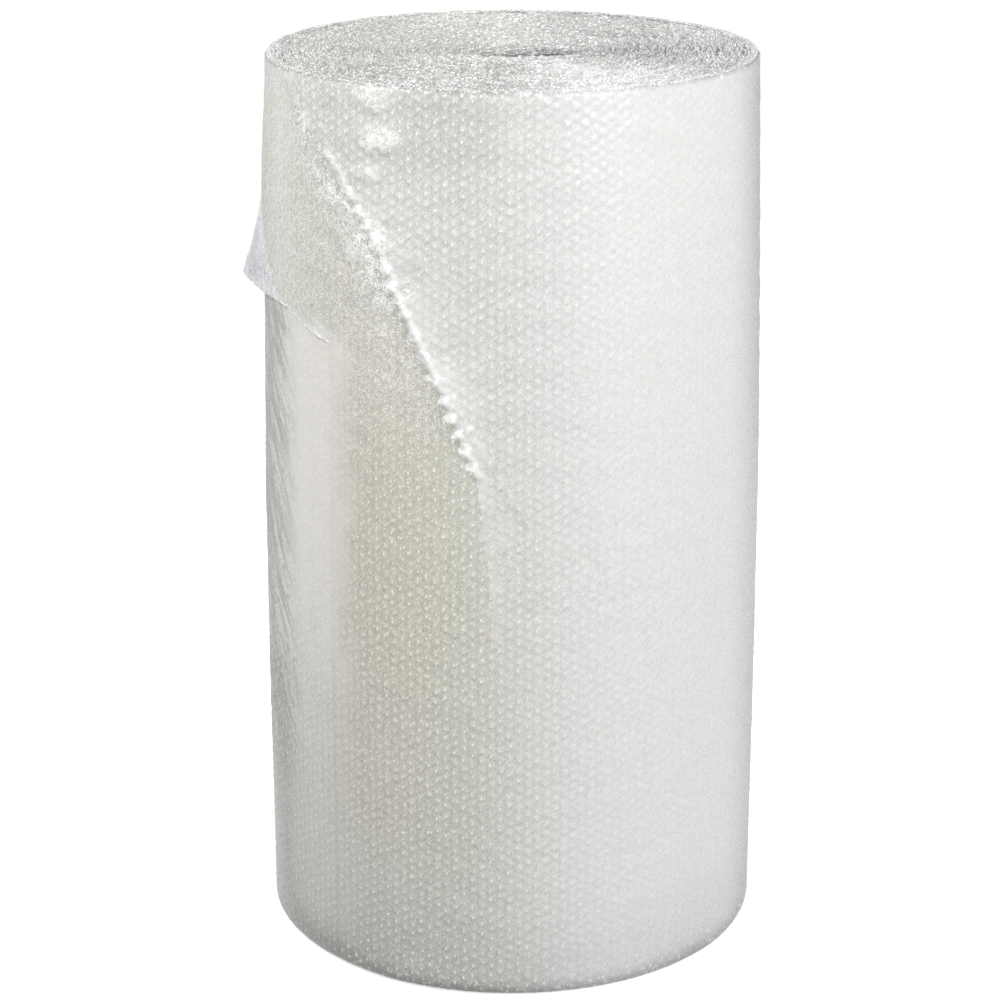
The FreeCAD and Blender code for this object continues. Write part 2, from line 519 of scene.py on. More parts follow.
@dataclass(frozen=True)
class FilmRelief:
    """How far each point of the film stands off the smooth roll."""

    form: Winding
    lattice: BubbleLattice
    dome_height: float = 0.6 * MM
    dome_tilt: float = 0.09
    ripple_height: float = 0.45 * MM
    ripple_length: float = 46.0 * MM
    crinkle_height: float = 1.1 * MM
    crumple_height: float = 0.35 * MM
    wrinkle_height: float = 1.3 * MM
    edge_ease: float = 3.2 * MM
    tuck_depth: float = 2.0 * MM
    main_fold: Fold = Fold(
        path=MAIN_FOLD,
        half_width=7.0 * MM,
        height=3.2 * MM,
        shelf=1.2 * MM,
        lump=0.75,
        fade_in=(0.12, 0.26),
    )
    faint_fold: Fold = Fold(
        path=((29.0, 190 * MM), (13.0, 322 * MM), (-3.0, 453 * MM)),
        half_width=8.0 * MM,
        height=1.2 * MM,
        shelf=0.4 * MM,
        lump=0.5,
    )
    pillows: tuple[Pillow, ...] = (
        Pillow(31.6, 0.9840, 34 * MM, 16 * MM, 1.8 * MM),
        Pillow(29.6, 0.9440, 36 * MM, 18 * MM, 2.6 * MM),
        Pillow(33.0, 0.9080, 27 * MM, 11 * MM, 1.7 * MM),
        Pillow(27.0, 0.8640, 18 * MM, 9 * MM, 0.7 * MM),
        Pillow(23.0, 0.8250, 22 * MM, 12 * MM, 0.6 * MM),
    )
    tight_edge: tuple[tuple[float, float], ...] = (
        (64.0, 0.0 * MM),
        *MAIN_FOLD,
        (3.0, 560 * MM),
        (0.0, 1100 * MM),
    )
    crinkle_path: tuple[tuple[float, float], ...] = (
        (51.0, 32 * MM),
        (52.0, 58 * MM),
        (47.5, 80 * MM),
        (42.5, 112 * MM),
        (36.0, 150 * MM),
        (29.0, 210 * MM),
    )

    def domes(self, u: np.ndarray, v: np.ndarray) -> np.ndarray:
        """Works out the bubbles' low domes, each with its own fullness and lean.

        Args:
            u: Distance round the web.
            v: Distance up the web.

        Returns:
            The rise of each point.
        """
        du, dv, column, row = self.lattice.nearest(u, v)
        reach = np.hypot(du, dv) / (self.lattice.pitch / 2)
        fullness = 0.55 + 0.7 * self.lattice.per_bubble(column, row, 0)
        lean_u = self.lattice.per_bubble(column, row, 1) - 0.5
        lean_v = self.lattice.per_bubble(column, row, 2) - 0.5
        cap = np.clip(1 - reach**2, 0, 1)
        lean = (lean_u * du + lean_v * dv) * 2 * self.dome_tilt
        return self.dome_height * fullness * cap**0.8 + lean * cap**0.5

    def smoothed(self, bearing: np.ndarray, z: np.ndarray) -> np.ndarray:
        """How far the film is pulled smooth.

        The under turn is smooth where the outer turn was torn away, and the outer turn near
        its free edge and in the corner above the main fold.

        Args:
            bearing: The unwrapped bearing of each point.
            z: The height of each point.

        Returns:
            How smooth each point is, from 0 to 1.
        """
        around = self.form.around(bearing)
        ragged = 2.6 * soft_noise(around / 0.02, z / 0.03, 54)
        under = smooth_step(-262, -280, bearing) * smooth_step(-328, -319, bearing + ragged)
        under = under * (0.3 + 0.7 * smooth_step(0.26, 0.52, z + 0.05 * ragged / 2.6))
        by_edge = smooth_step(34, 44, bearing + ragged) * smooth_step(0.76, 0.71, z)
        by_edge = by_edge * (0.4 + 0.6 * smooth_step(0.26, 0.42, z))
        corner = 0.35 * smooth_step(54, 63, bearing + ragged) * smooth_step(0.82, 0.90, z)
        return np.maximum.reduce([under, by_edge, corner])

    def eased(self, bearing: np.ndarray, z: np.ndarray) -> np.ndarray:
        """Works out how far the loose turn lies down onto the turn under it by its free edge.

        Args:
            bearing: The unwrapped bearing of each point.
            z: The height of each point.

        Returns:
            How far each point is let down.
        """
        below_tear = smooth_step(0.80, 0.72, z)
        by_edge = self.edge_ease * smooth_step(26, 44, bearing) * smooth_step(50, 44, bearing)
        by_top = self.edge_ease * smooth_step(70, 89, bearing) * smooth_step(0.88, 0.97, z)
        return by_edge * below_tear + by_top + self.tuck_depth * smooth_step(-315.5, -319, bearing)

    def fold_lift(self, fold: Fold, bearing: np.ndarray, z: np.ndarray) -> np.ndarray:
        """Works out one fold's crest, beaded where it crosses bubbles, and the shelf on its right.

        Args:
            fold: The fold.
            bearing: The unwrapped bearing of each point.
            z: The height of each point.

        Returns:
            The rise of each point.
        """
        away, along, side, fade = fold.measure(self.form, bearing, z)
        crest = np.clip(1 - away / fold.half_width, 0, 1) ** 1.1 * fold.height * fold.beads(along)
        shelf = np.exp(-away / (28 * MM)) * fold.shelf * (side < 0)
        return (crest + shelf) * fade

    def bagging(self, bearing: np.ndarray, z: np.ndarray) -> np.ndarray:
        """Works out the bulges below the top edge, one above the other.

        Args:
            bearing: The unwrapped bearing of each point.
            z: The height of each point.

        Returns:
            The rise of each point.
        """
        total = np.zeros(bearing.shape)
        for pillow in self.pillows:
            across = self.form.around(bearing - pillow.bearing) / pillow.half_width
            up = (z - pillow.height) / pillow.half_height
            total += pillow.lift * np.clip(1 - across**2 - up**2, 0, 1) ** 1.3
        return total

    def tightness(self, bearing: np.ndarray, z: np.ndarray) -> tuple[np.ndarray, np.ndarray]:
        """Tells the film that clings to the roll from the loose film.

        Args:
            bearing: The bearing of each point.
            z: The height of each point.

        Returns:
            How tightly each point clings, and its distance into the loose side.
        """
        away, _, side, _ = self.form.measure(self.tight_edge, bearing, z)
        loose = away * np.where(side < 0, 1, -1)
        softness = 4 * MM + 80 * MM * smooth_step(0.67, 0.55, z)
        return smooth_step(1, -1, loose / softness), loose

    def shade(self, at: FilmPlaces) -> np.ndarray:
        """Works out the painted shade, and the darker film where it clings to the roll.

        Args:
            at: The points.

        Returns:
            How dark each point is, from 0 up.
        """
        z = at.z
        left = at.tight * at.facing
        face = (at.bearing + 180) % 360 - 180
        # Painted shade towards the foot and towards the far left and right.
        foot = 0.58 * smooth_step(0.030, 0.0, z) + 0.22 * smooth_step(0.14, 0.01, z)
        foot = foot + 0.55 * smooth_step(22, 46, face) * smooth_step(0.060, 0.005, z)
        foot = foot + 0.35 * smooth_step(-22, -50, face) * smooth_step(0.045, 0.0, z)
        low_left = (0.12 * left + 0.22 * (1 - at.outermost)) * smooth_step(0.45, 0.08, z)
        sides = 0.95 * smooth_step(60, 86, face) + 1.1 * smooth_step(-56, -88, face)
        shade = 0.12 * left + low_left + foot + sides * smooth_step(150, 110, np.abs(face))
        # Painted shade among the crinkles and along the pull lines.
        shade = shade + 0.38 * self.crinkle_zone(at.bearing, z) * at.outermost
        pulls = 0.20 + 0.85 * self.pull_lines(at.bearing, z)
        shade = shade + self.pull_zone(at.bearing, z) * pulls
        # Painted shade below the rim, which takes the light off the shoulder.
        side_end = self.form.side_end
        shade = shade + 0.7 * smooth_step(side_end - 1 * MM, side_end + 4 * MM, at.web[:, 1])
        low_side = smooth_step(48, 76, face) * smooth_step(150, 110, face)
        shade = shade + 0.80 * low_side * smooth_step(0.44, 0.08, z)
        under_rim = smooth_step(-2, 8, at.bearing) * smooth_step(30, 20, at.bearing)
        shade = shade + 0.20 * under_rim * smooth_step(0.88, 0.96, z)
        # A painted shadow beside the main fold.
        beside_fold = np.exp(-(((at.loose + 10 * MM) / (9 * MM)) ** 2)) * at.facing
        return shade + 0.20 * beside_fold * smooth_step(0.58, 0.64, z)

    def haze_and_light(self, at: FilmPlaces) -> np.ndarray:
        """Works out the milky film right of the main fold, and the painted light on the right.

        Args:
            at: The points.

        Returns:
            How milky each point is.
        """
        z = at.z
        drift = 14 * MM * soft_noise(at.around / 0.035, z / 0.05, 44)
        near_fold = np.exp(-np.clip(at.loose + drift, 0, None) / (34 * MM))
        near_fold = near_fold * (at.loose > -2 * MM) * at.facing
        near_fold = near_fold * smooth_step(0.30, 0.55, z) * smooth_step(0.97, 0.86, z)
        near_fold = near_fold * (0.75 + 0.35 * soft_noise(at.around / 0.018, z / 0.018, 50))
        # Painted light: the lit right side is painted bright.
        lit_right = smooth_step(11, -28, at.bearing) * smooth_step(-95, -60, at.bearing)
        lit_right = lit_right * (0.80 + 0.20 * smooth_step(0.5, 1.0, z))
        patchy = 0.7 + 0.3 * soft_noise(at.around / 0.12, z / 0.3, 48)
        lit_right = lit_right + 0.4 * smooth_step(-60, -95, at.bearing) * patchy
        return np.maximum(near_fold, lit_right * at.outermost)

    def warmth(self, at: FilmPlaces) -> np.ndarray:
        """Works out where the warm tint of many layers shows through the film.

        Args:
            at: The points.

        Returns:
            How warm each point is, from 0 up.
        """
        z = at.z
        across = self.form.around(at.bearing - 27)
        hot = np.exp(-((across / 0.085) ** 2) - ((z - 0.50) / 0.15) ** 2)
        far = 0.5 + 0.5 * soft_noise(at.around / 0.22, z / 0.26, 45)
        warmth = 0.66 * at.tight * at.facing + 0.7 * hot * at.facing + 0.5 * (1 - at.outermost)
        warmth = warmth + 0.4 * far * (1 - at.facing) * at.outermost
        warmth = warmth + 0.3 * (1 - at.tight) * at.facing * smooth_step(-6, 20, at.bearing)
        return warmth * (0.35 + 0.65 * smooth_step(0.0, 0.24, z))

    def crease_and_glint(self, at: FilmPlaces) -> np.ndarray:
        """Works out painted highlights on creases, bulges, the torn edge, the rim and the foot.

        Args:
            at: The points.

        Returns:
            How creased each point is.
        """
        z = at.z
        edge = z - self.form.tear_height(at.bearing)
        edge = edge / (7 * MM + 9 * MM * smooth_step(54, 46, at.bearing))
        torn = np.exp(-(edge**2)) * smooth_step(42, 46, at.bearing)
        torn = torn * (0.8 + 0.6 * soft_noise(at.around / 0.006, z / 0.006, 55))
        # Painted highlights where the bulges catch the light, and glints at the rim and the foot.
        bags = 1.15 * self.bagging(at.bearing, z) / (2.0 * MM)
        bags = bags * (0.9 + 0.6 * soft_noise(at.around / 0.014, z / 0.007, 52))
        wisps = np.exp(-(((at.loose - 13 * MM) / (15 * MM)) ** 2))
        wisps = wisps * (0.35 + 0.7 * soft_noise(at.around / 0.016, z / 0.024, 58))
        wisps = wisps * smooth_step(0.58, 0.66, z) * smooth_step(0.93, 0.85, z)
        side_end = self.form.side_end
        at_rim = smooth_step(side_end - 30 * MM, side_end + 2 * MM, at.web[:, 1])
        at_rim = at_rim * (0.15 + soft_noise(*at.web.T / (3 * MM), 60))
        at_foot = 0.1 + 1.1 * soft_noise(*at.web.T / (4 * MM), 61)
        at_foot = at_foot * smooth_step(0.07, 0.0, z)
        crinkled = 1.25 * self.crinkle_zone(at.bearing, z)
        most = np.maximum.reduce([bags, crinkled, torn, 1.2 * wisps, at_rim, at_foot])
        return most * at.outermost

    def marks(self, web: np.ndarray) -> dict[FilmMark, np.ndarray]:
        """Works out the film's state, painted shade and highlights at points of the web.

        Args:
            web: Where each point lies on the web.

        Returns:
            How strongly each point shows each state.
        """
        bearing = self.form.bearing(web[:, 0])
        z = self.form.height_of(web[:, 1])
        outermost = smooth_step(-278, -260, bearing)
        facing = smooth_step(-75, -60, bearing) * outermost
        around = self.form.around(bearing)
        tight, loose = self.tightness(bearing, z)
        at = FilmPlaces(web, bearing, z, around, outermost, facing, tight, loose)
        away, along, side, fade = self.main_fold.measure(self.form, bearing, z)
        return {
            FilmMark.SHADE: np.clip(self.shade(at), 0, 1),
            FilmMark.CRUMPLE: tight * facing * smooth_step(0.56, 0.74, z),
            FilmMark.HAZE_AND_LIGHT: self.haze_and_light(at),
            FilmMark.CREASE_AND_GLINT: np.clip(self.crease_and_glint(at), 0, 2),
            FilmMark.WARMTH: np.clip(self.warmth(at), 0, 1),
            FilmMark.SMOOTH: self.smoothed(bearing, z),
            FilmMark.FOLD_AWAY: np.where(side < 0, 1, -1) * (away + 0.03 * (1 - fade * outermost)),
            FilmMark.FOLD_ALONG: along,
        }

    def ripples(self, bearing: np.ndarray, z: np.ndarray) -> np.ndarray:
        """Works out soft level bands where the loose turn bags, and a slow unevenness all over.

        Args:
            bearing: The unwrapped bearing of each point.
            z: The height of each point.

        Returns:
            The rise of each point.
        """
        around = self.form.around(bearing)
        phase = z / self.ripple_length + 0.6 * soft_noise(around / 0.13, z / 0.2, 5)
        strength = 0.35 + 0.65 * smooth_step(0.45, 0.8, z)
        band = np.sin(2 * math.pi * phase) * (0.5 + 0.5 * soft_noise(around / 0.09, z / 0.12, 6))
        slow = soft_noise(around / 0.07, z / 0.16, 7) + 0.5 * soft_noise(around / 0.03, z / 0.05, 8)
        return self.ripple_height * (band * strength + 0.9 * slow)

    def crinkle_zone(self, bearing: np.ndarray, z: np.ndarray) -> np.ndarray:
        """Finds where the film is creased small and sharp: a band that runs on above the main fold.

        Args:
            bearing: The unwrapped bearing of each point.
            z: The height of each point.

        Returns:
            How strongly each point is creased, from 0 to 1.
        """
        away = self.form.measure(self.crinkle_path, bearing, z)[0]
        around = self.form.around(bearing)
        patchy = 0.74 + 0.36 * soft_noise(around / 0.013, z / 0.017, 56)
        patchy = patchy + 0.36 * soft_noise(around / 0.017, z / 0.012, 56)
        return np.exp(-((away / (33 * MM)) ** 2)) * np.clip(patchy, 0.1, 1.0)

    def crinkles(self, bearing: np.ndarray, z: np.ndarray) -> np.ndarray:
        """Works out small sharp creases in the corner between the main fold and the top edge.

        Args:
            bearing: The unwrapped bearing of each point.
            z: The height of each point.

        Returns:
            The rise of each point.
        """
        zone = self.crinkle_zone(bearing, z)
        around = self.form.around(bearing)
        coarse = soft_noise(around / 0.013 + z / 0.03, z / 0.016 - around / 0.05, 21)
        fine = soft_noise(around / 0.0065, z / 0.0075, 22)
        creases = 0.75 * (1 - 2.4 * np.abs(coarse)) + 0.5 * (1 - 2.4 * np.abs(fine))
        spread = 0.5 + 0.5 * soft_noise(around / 0.03, z / 0.035, 23)
        return self.crinkle_height * zone * creases * (0.35 + 0.9 * spread)

    def pull_zone(self, bearing: np.ndarray, z: np.ndarray) -> np.ndarray:
        """Where pull lines show in the smooth under turn, below the turned-out corner."""
        zone = smooth_step(-306, -294, bearing) * smooth_step(-264, -276, bearing)
        return zone * smooth_step(0.10, 0.3, z)

    def pull_lines(self, bearing: np.ndarray, z: np.ndarray) -> np.ndarray:
        """Draws slanting pull lines.

        Args:
            bearing: The unwrapped bearing of each point.
            z: The height of each point.

        Returns:
            How near each point is to a line, 1 on it.
        """
        around = self.form.around(bearing + 360)
        slant = z - 1.1 * around
        wide = np.abs(soft_noise(slant / 0.019, around / 0.10 + z / 0.22, 31))
        fine = np.abs(soft_noise(slant / 0.0065, around / 0.03 + z / 0.05, 32))
        return np.maximum(np.clip(1 - 3.4 * wide, 0, 1), 0.8 * np.clip(1 - 3.0 * fine, 0, 1))

    def tension_wrinkles(self, bearing: np.ndarray, z: np.ndarray) -> np.ndarray:
        """The pull lines as low ridges."""
        return self.wrinkle_height * self.pull_zone(bearing, z) * self.pull_lines(bearing, z)

    def lift(self, u: np.ndarray, v: np.ndarray) -> np.ndarray:
        """Adds up everything that stands off the smooth roll.

        Args:
            u: Distance round the web.
            v: Distance up the web.

        Returns:
            The lift of each point, in metres.
        """
        bearing = self.form.bearing(u)
        z = self.form.height_of(v)
        on_outer = np.where(bearing > -268, 1.0, 0.0)
        smoothed = self.smoothed(bearing, z)
        tight, _ = self.tightness(bearing, z)
        crumple = tight * smooth_step(-75, -60, bearing) * on_outer * smooth_step(0.42, 0.60, z)
        taut = smooth_step(0, -30, bearing) * smooth_step(-110, -80, bearing)
        total = self.domes(u, v) * (1 - 0.85 * smoothed) * (1 - 0.55 * crumple) * (1 - 0.4 * taut)
        crushed = 0.5 * soft_noise(u / (7 * MM), v / (7 * MM), 46)
        crushed = crushed + soft_noise(u / (19 * MM), v / (15 * MM), 47)
        total = total + self.crumple_height * crumple * crushed
        total = total + on_outer * self.bagging(bearing, z)
        total = total + self.ripples(bearing, z) * (1 - 0.6 * smoothed)
        total = total + self.tension_wrinkles(bearing, z)
        for fold in (self.main_fold, self.faint_fold):
            total = total + on_outer * self.fold_lift(fold, bearing, z)
        total = total + on_outer * self.crinkles(bearing, z) - self.eased(bearing, z)
        return total * (0.35 + 0.65 * smooth_step(0, self.form.side_start, v))


@dataclass(frozen=True)
class WebGrid:
    """A close grid of triangles over the unrolled web, in step with the bubbles."""

    lattice: BubbleLattice
    parts_a_bubble: int = 4

    @property
    def row_gap(self) -> float:
        """The distance between two rows of vertices up the web."""
        return self.lattice.pitch / self.parts_a_bubble

    @property
    def column_gap(self) -> float:
        """The distance between two columns of vertices round the web."""
        return self.row_gap * math.sqrt(0.75)

    def column_at(self, u: float) -> int:
        """The column nearest to a distance round the web."""
        return round(u / self.column_gap)

    def patch(self, first: int, last: int, top: float) -> tuple[np.ndarray, np.ndarray, np.ndarray]:
        """Lays out the grid between two columns.

        Args:
            first: The first column.
            last: The last column.
            top: How far up the web the grid goes.

        Returns:
            The distance round and up the web of each vertex, and the triangles.
        """
        rows = int(top / self.row_gap) + 1
        column, row = np.meshgrid(np.arange(first, last + 1), np.arange(rows), indexing="ij")
        u = column * self.column_gap
        v = np.minimum((row + 0.5 * (column % 2)) * self.row_gap, top)
        index = np.arange(column.size).reshape(column.shape)
        here = index[:-1, :-1]
        up = index[:-1, 1:]
        right = index[1:, :-1]
        right_up = index[1:, 1:]
        odd = column[:-1, :-1] % 2 == 1
        low = np.stack([here, right, np.where(odd, right_up, up)], -1)
        high = np.stack([np.where(odd, here, right), right_up, up], -1)
        faces = np.concatenate([low.reshape(-1, 3), high.reshape(-1, 3)])
        return u.ravel(), v.ravel(), faces


@dataclass(frozen=True)
class OuterTurns:
    """The roll's side: the loose outer turn with its torn edge, and the turn under it."""

    form: Winding
    relief: FilmRelief
    grid: WebGrid
    shoulder_share: float = 0.6
    under_overlap: float = 12.0 * MM
    tuck: float = 12.0 * MM
    edge_drop: float = 3.4 * MM
    cuts: tuple[float, ...] = (89.0, -84.0, -200.0, -320.0)

    def top(self) -> float:
        """How far up the web the side's film goes before the end's cut edges take over."""
        return self.form.side_end + self.form.shoulder_rounding * math.pi / 2 * self.shoulder_share

    def kept(self, bearing: np.ndarray, z: np.ndarray) -> np.ndarray:
        """Finds the film that shows, allowing one row past the tear.

        Args:
            bearing: The unwrapped bearing of each point.
            z: The height of each point.

        Returns:
            Whether each point is on it.
        """
        over = bearing > self.form.free_edge_bearing
        torn = over & (z < self.form.tear_height(bearing) - self.grid.row_gap)
        tucked = math.degrees(self.tuck / self.form.body_radius)
        under = bearing + 360 < self.form.wrapped_on_bearing - tucked
        hidden = under & (z > self.form.tear_height(bearing + 360) + self.under_overlap)
        return ~(torn | hidden)

    def build_stretch(self, name: str, start: float, stop: float) -> bpy.types.Object:
        """Builds the film between two unwrapped bearings.

        Args:
            name: The piece's name.
            start: The bearing that the stretch starts at.
            stop: The lower bearing that it ends at.

        Returns:
            The piece.
        """
        form = self.form
        first = self.grid.column_at(form.round_web(start))
        last = self.grid.column_at(form.round_web(stop))
        u, v, faces = self.grid.patch(first, last, self.top())
        bearing = form.bearing(u)
        z = form.height_of(v)
        faces = faces[self.kept(bearing, z)[faces].all(axis=1)]
        tear = form.tear_height(bearing)
        over = (bearing > form.free_edge_bearing) & (z < tear + 0.3 * self.grid.row_gap)
        v = np.where(over, v + tear - z, v)
        points = form.place(u, v, self.relief.lift(u, v))
        on_edge = over | (u == u[0]) * (start == self.cuts[0])
        web = np.stack([u, v], axis=-1)
        points, faces, web, on_edge = drop_unused(points, faces, web, on_edge)
        points, faces, web = self.with_cut_edge(points, faces, web, on_edge)
        return make_piece(name, points, faces, web, self.relief.marks(web))

    def with_cut_edge(
        self, points: np.ndarray, faces: np.ndarray, web: np.ndarray, on_edge: np.ndarray
    ) -> tuple:
        """Adds the film's thickness along its torn and cut edges.

        Args:
            points: Vertex positions.
            faces: Triangles.
            web: Where each vertex lies on the web.
            on_edge: Whether each vertex is on a torn or cut edge.

        Returns:
            The longer points, faces and web places.
        """
        edges = rim_edges(faces)
        edges = edges[on_edge[edges].all(axis=1)]
        if not len(edges):
            return points, faces, web
        used, flat = np.unique(edges, return_inverse=True)
        flat = flat.reshape(edges.shape)
        inward = points[used] * [1, 1, 0]
        inward = -inward / np.linalg.norm(inward, axis=1, keepdims=True)
        wall = rim_wall(len(points) + flat, len(used))
        points = np.concatenate([points, points[used], points[used] + inward * self.edge_drop])
        web = np.concatenate([web, web[used], web[used] + self.edge_drop])
        return points, np.concatenate([faces, wall]), web

    def build(self) -> list[bpy.types.Object]:
        """Builds the side in stretches, from the outermost edge inwards."""
        names = ("outer_turn_front", "outer_turn_right", "outer_turn_back")
        return [self.build_stretch(*stretch) for stretch in zip(names, self.cuts, self.cuts[1:])]


@dataclass(frozen=True)
class TurnedCorner:
    """The torn corner, folded out from the roll: smooth outside, bubbles inside."""

    form: Winding
    relief: FilmRelief
    grid: WebGrid
    sheet_gap: float = 1.6 * MM
    inner_dome: float = 2.2 * MM
    flutter: float = 1.6 * MM

    def stand_off(self, bearing: np.ndarray, z: np.ndarray) -> np.ndarray:
        """Works out how far out the corner is folded.

        Args:
            bearing: The unwrapped bearing of each point.
            z: The height of each point.

        Returns:
            A share for each point, from 0 on the fold to 1 at the tip.
        """
        fold = self.form.tear_height(bearing)
        level = self.form.tear_level
        share = np.clip((fold - z) / self.form.corner_height, 0, 1)
        return share * smooth_step(level - 1, level, fold)

    def build(self) -> bpy.types.Object:
        """Builds both sheets of the corner and the rim that joins them.

        Returns:
            The piece.
        """
        form = self.form
        last = self.grid.column_at(form.round_web(form.corner_root_bearing))
        u, v, faces = self.grid.patch(0, last, form.side_end)
        bearing = form.bearing(u)
        z = form.height_of(v)
        fold = form.tear_height(bearing)
        gap = self.grid.row_gap
        inside = (z > form.tear_level - gap) & (z < fold + 1.2 * gap)
        faces = faces[inside[faces].all(axis=1)]
        v = np.where(z < form.tear_level, v + form.tear_level - z, v)
        z = form.height_of(v)
        share = self.stand_off(bearing, z)
        around = form.around(bearing)
        flutter = self.flutter * soft_noise(around / 0.018, z / 0.02, 41)
        out = form.corner_stand_off * share**1.35 + flutter * smooth_step(0, 0.5, share)
        du, dv, _, _ = self.relief.lattice.nearest(u, v)
        cap = np.clip(1 - (np.hypot(du, dv) * 2 / self.relief.lattice.pitch) ** 2, 0, 1)
        rise = np.stack([0 * share, 0 * share, form.corner_tip_rise * share], axis=-1)
        outer = form.place(u, v, out + 0.5 * self.relief.domes(u, v)) + rise
        inner = form.place(u, v, out - self.sheet_gap - self.inner_dome * cap**0.6) + rise
        count = len(outer)
        wall = rim_wall(rim_edges(faces), count)
        faces = np.concatenate([faces, faces[:, ::-1] + count, wall])
        web = np.stack([u, v], axis=-1)
        # A painted highlight along the corner's rim and fold, in patches over the rest.
        rim_share = np.exp(-share / 0.10) + np.exp(-(z - form.tear_level) / (5 * MM))
        rim_share = rim_share + np.exp(-u / (6 * MM))
        patchy = 0.5 + 0.6 * soft_noise(around / 0.02, z / 0.03, 42)
        crease_and_glint = np.clip(0.75 * rim_share + 0.6 * patchy, 0, 1)
        both = [np.concatenate([array, array]) for array in (web, crease_and_glint)]
        points, faces, web, crease_and_glint = drop_unused(np.concatenate([outer, inner]), faces, *both)
        marks = {FilmMark.CREASE_AND_GLINT: 1.4 * crease_and_glint, FilmMark.CRUMPLE: np.full(len(crease_and_glint), 0.8)}
        return make_piece("turned_out_corner", points, faces, web, marks)


@dataclass(frozen=True)
class WoundEnd:
    """An end of the roll: the cut edge of the web, wound in from the rim to the slit."""

    form: Winding
    lattice: BubbleLattice
    end: End
    turns: int = 112
    first_turn: int = 0
    last_turn: int = 112
    step: float = 2.6 * MM
    slit_half_length: float = 45.0 * MM
    slit_half_width: float = 8.0 * MM
    slit_to_right: float = 25.0 * MM
    slit_to_front: float = 15.0 * MM
    slit_turn: float = 17.0
    edge_scatter: float = 1.8 * MM
    scallop: float = 1.6 * MM
    groove: float = 1.3 * MM
    glitter: float = 2.8 * MM
    section: float = 2.2 * MM
    skirt: float = 4.0 * MM
    start_ease: float = 3.2 * MM
    outer_half: float = 2.0 * MM
    samples_a_turn: int = 360

    def rim(self) -> tuple[float, float]:
        """Places the outermost wound edge.

        Returns:
            Its radius, and its distance from the end's plane.
        """
        if self.end is End.TOP:
            outermost = self.form.turn_radius(self.form.wrapped_on_bearing, self.form.height)
            return float(outermost) - 3.4 * MM, 0.0
        return self.form.body_radius - 9.0 * MM, 4.0 * MM

    def centreline(self) -> tuple[np.ndarray, np.ndarray, np.ndarray, np.ndarray]:
        """Winds the web from the rim to the slit, in even steps.

        Returns:
            The place on the end, the share of the way out, the distance along the web, and
            the half width that each turn has to itself.
        """
        radius, _ = self.rim()
        samples = (self.last_turn - self.first_turn) * self.samples_a_turn
        wound = np.linspace(self.first_turn, self.last_turn, samples)
        polar = np.radians(270 - self.form.wrapped_on_bearing + wound * 360 - self.slit_turn)
        after_one = 1 - self.form.film_thickness / radius
        eased = 1 - self.start_ease / radius
        shares = [eased, 1 - 0.05 * (1 - after_one), after_one, 0]
        out = np.interp(wound, [0, 0.05, 1, self.turns], shares)
        inside = (radius - self.slit_half_width) / self.turns / 2
        half = np.interp(wound, [0, 1, 1.3], [self.outer_half, self.outer_half, inside])
        centre = np.array([self.slit_to_right, -self.slit_to_front])
        tilt = math.radians(self.slit_turn)
        along = np.array([math.cos(tilt), math.sin(tilt)])
        across = np.array([-math.sin(tilt), math.cos(tilt)])
        long_half = self.slit_half_length + (radius - self.slit_half_length) * out
        short_half = self.slit_half_width + (radius - self.slit_half_width) * out
        place = centre * (1 - out[:, None]) ** 1.5
        place = place + (long_half * np.cos(polar))[:, None] * along
        place = place + (short_half * np.sin(polar))[:, None] * across
        run = np.concatenate([[0], np.cumsum(np.linalg.norm(np.diff(place, axis=0), axis=1))])
        even = np.arange(0, run[-1], self.step)
        place = np.stack([np.interp(even, run, place[:, k]) for k in (0, 1)], axis=-1)
        return place, np.interp(even, run, out), even, np.interp(even, run, half)

    def marks(self, place: np.ndarray, out: np.ndarray) -> dict[FilmMark, np.ndarray]:
        """Works out the painted light and shade on the wound edges, and their warm tint.

        Args:
            place: Where each point is on the end.
            out: The share of the way out from the slit.

        Returns:
            How strongly each point shows each state.
        """
        x = place[:, 0]
        y = place[:, 1]
        # Painted light at the front and rim, a painted highlight spot, painted shade behind.
        blotch = soft_noise(x / 0.045, y / 0.045, 57)
        lip = y + 0.045 + 0.30 * x + 0.012 * blotch
        right = smooth_step(-0.02, 0.07, x + 0.02 * blotch)
        blotch = blotch + 0.6 * soft_noise(x / 0.014, y / 0.05, 59)
        front = smooth_step(0.02, -0.06, lip) * right * smooth_step(0.26, 0.12, x)
        front = front * (0.75 + 0.25 * blotch)
        near_left = 0.05 * smooth_step(-0.10, -0.20, y) * smooth_step(0.0, -0.04, x)
        spot = 0.5 * np.exp(-(((x + 0.005) / 0.02) ** 2) - ((y - 0.05) / 0.035) ** 2)
        rim = smooth_step(0.93, 0.99, out) * 0.10
        behind = smooth_step(-0.02, 0.03, lip) * right
        lit_left = smooth_step(-0.16, -0.24, x) * 0.5
        shade = 0.30 * behind * smooth_step(0.24, 0.12, x)
        shade = shade + 0.10 * smooth_step(-0.1, 0.1, y) * smooth_step(0.2, 0.1, x)
        shade = shade + 0.44 * smooth_step(0.05, -0.14, y) * (1 - right) + 0.06 - lit_left * 0.1
        # A painted shadow along the slit.
        by_slit = 1.1 * np.exp(-out / 0.022) * smooth_step(-0.03, 0.03, x + 0.03)
        shade = np.clip(shade + by_slit, 0, 1)
        warmth = 0.85 * smooth_step(0.02, -0.06, x) * smooth_step(-0.27, -0.12, x)
        warmth = warmth * smooth_step(-0.20, -0.08, y)
        return {
            FilmMark.HAZE_AND_LIGHT: np.clip(np.maximum.reduce([front, near_left, spot, rim]), 0, 1),
            FilmMark.SHADE: shade * (1 - rim),
            FilmMark.WARMTH: 0.15 + 0.85 * warmth,
        }

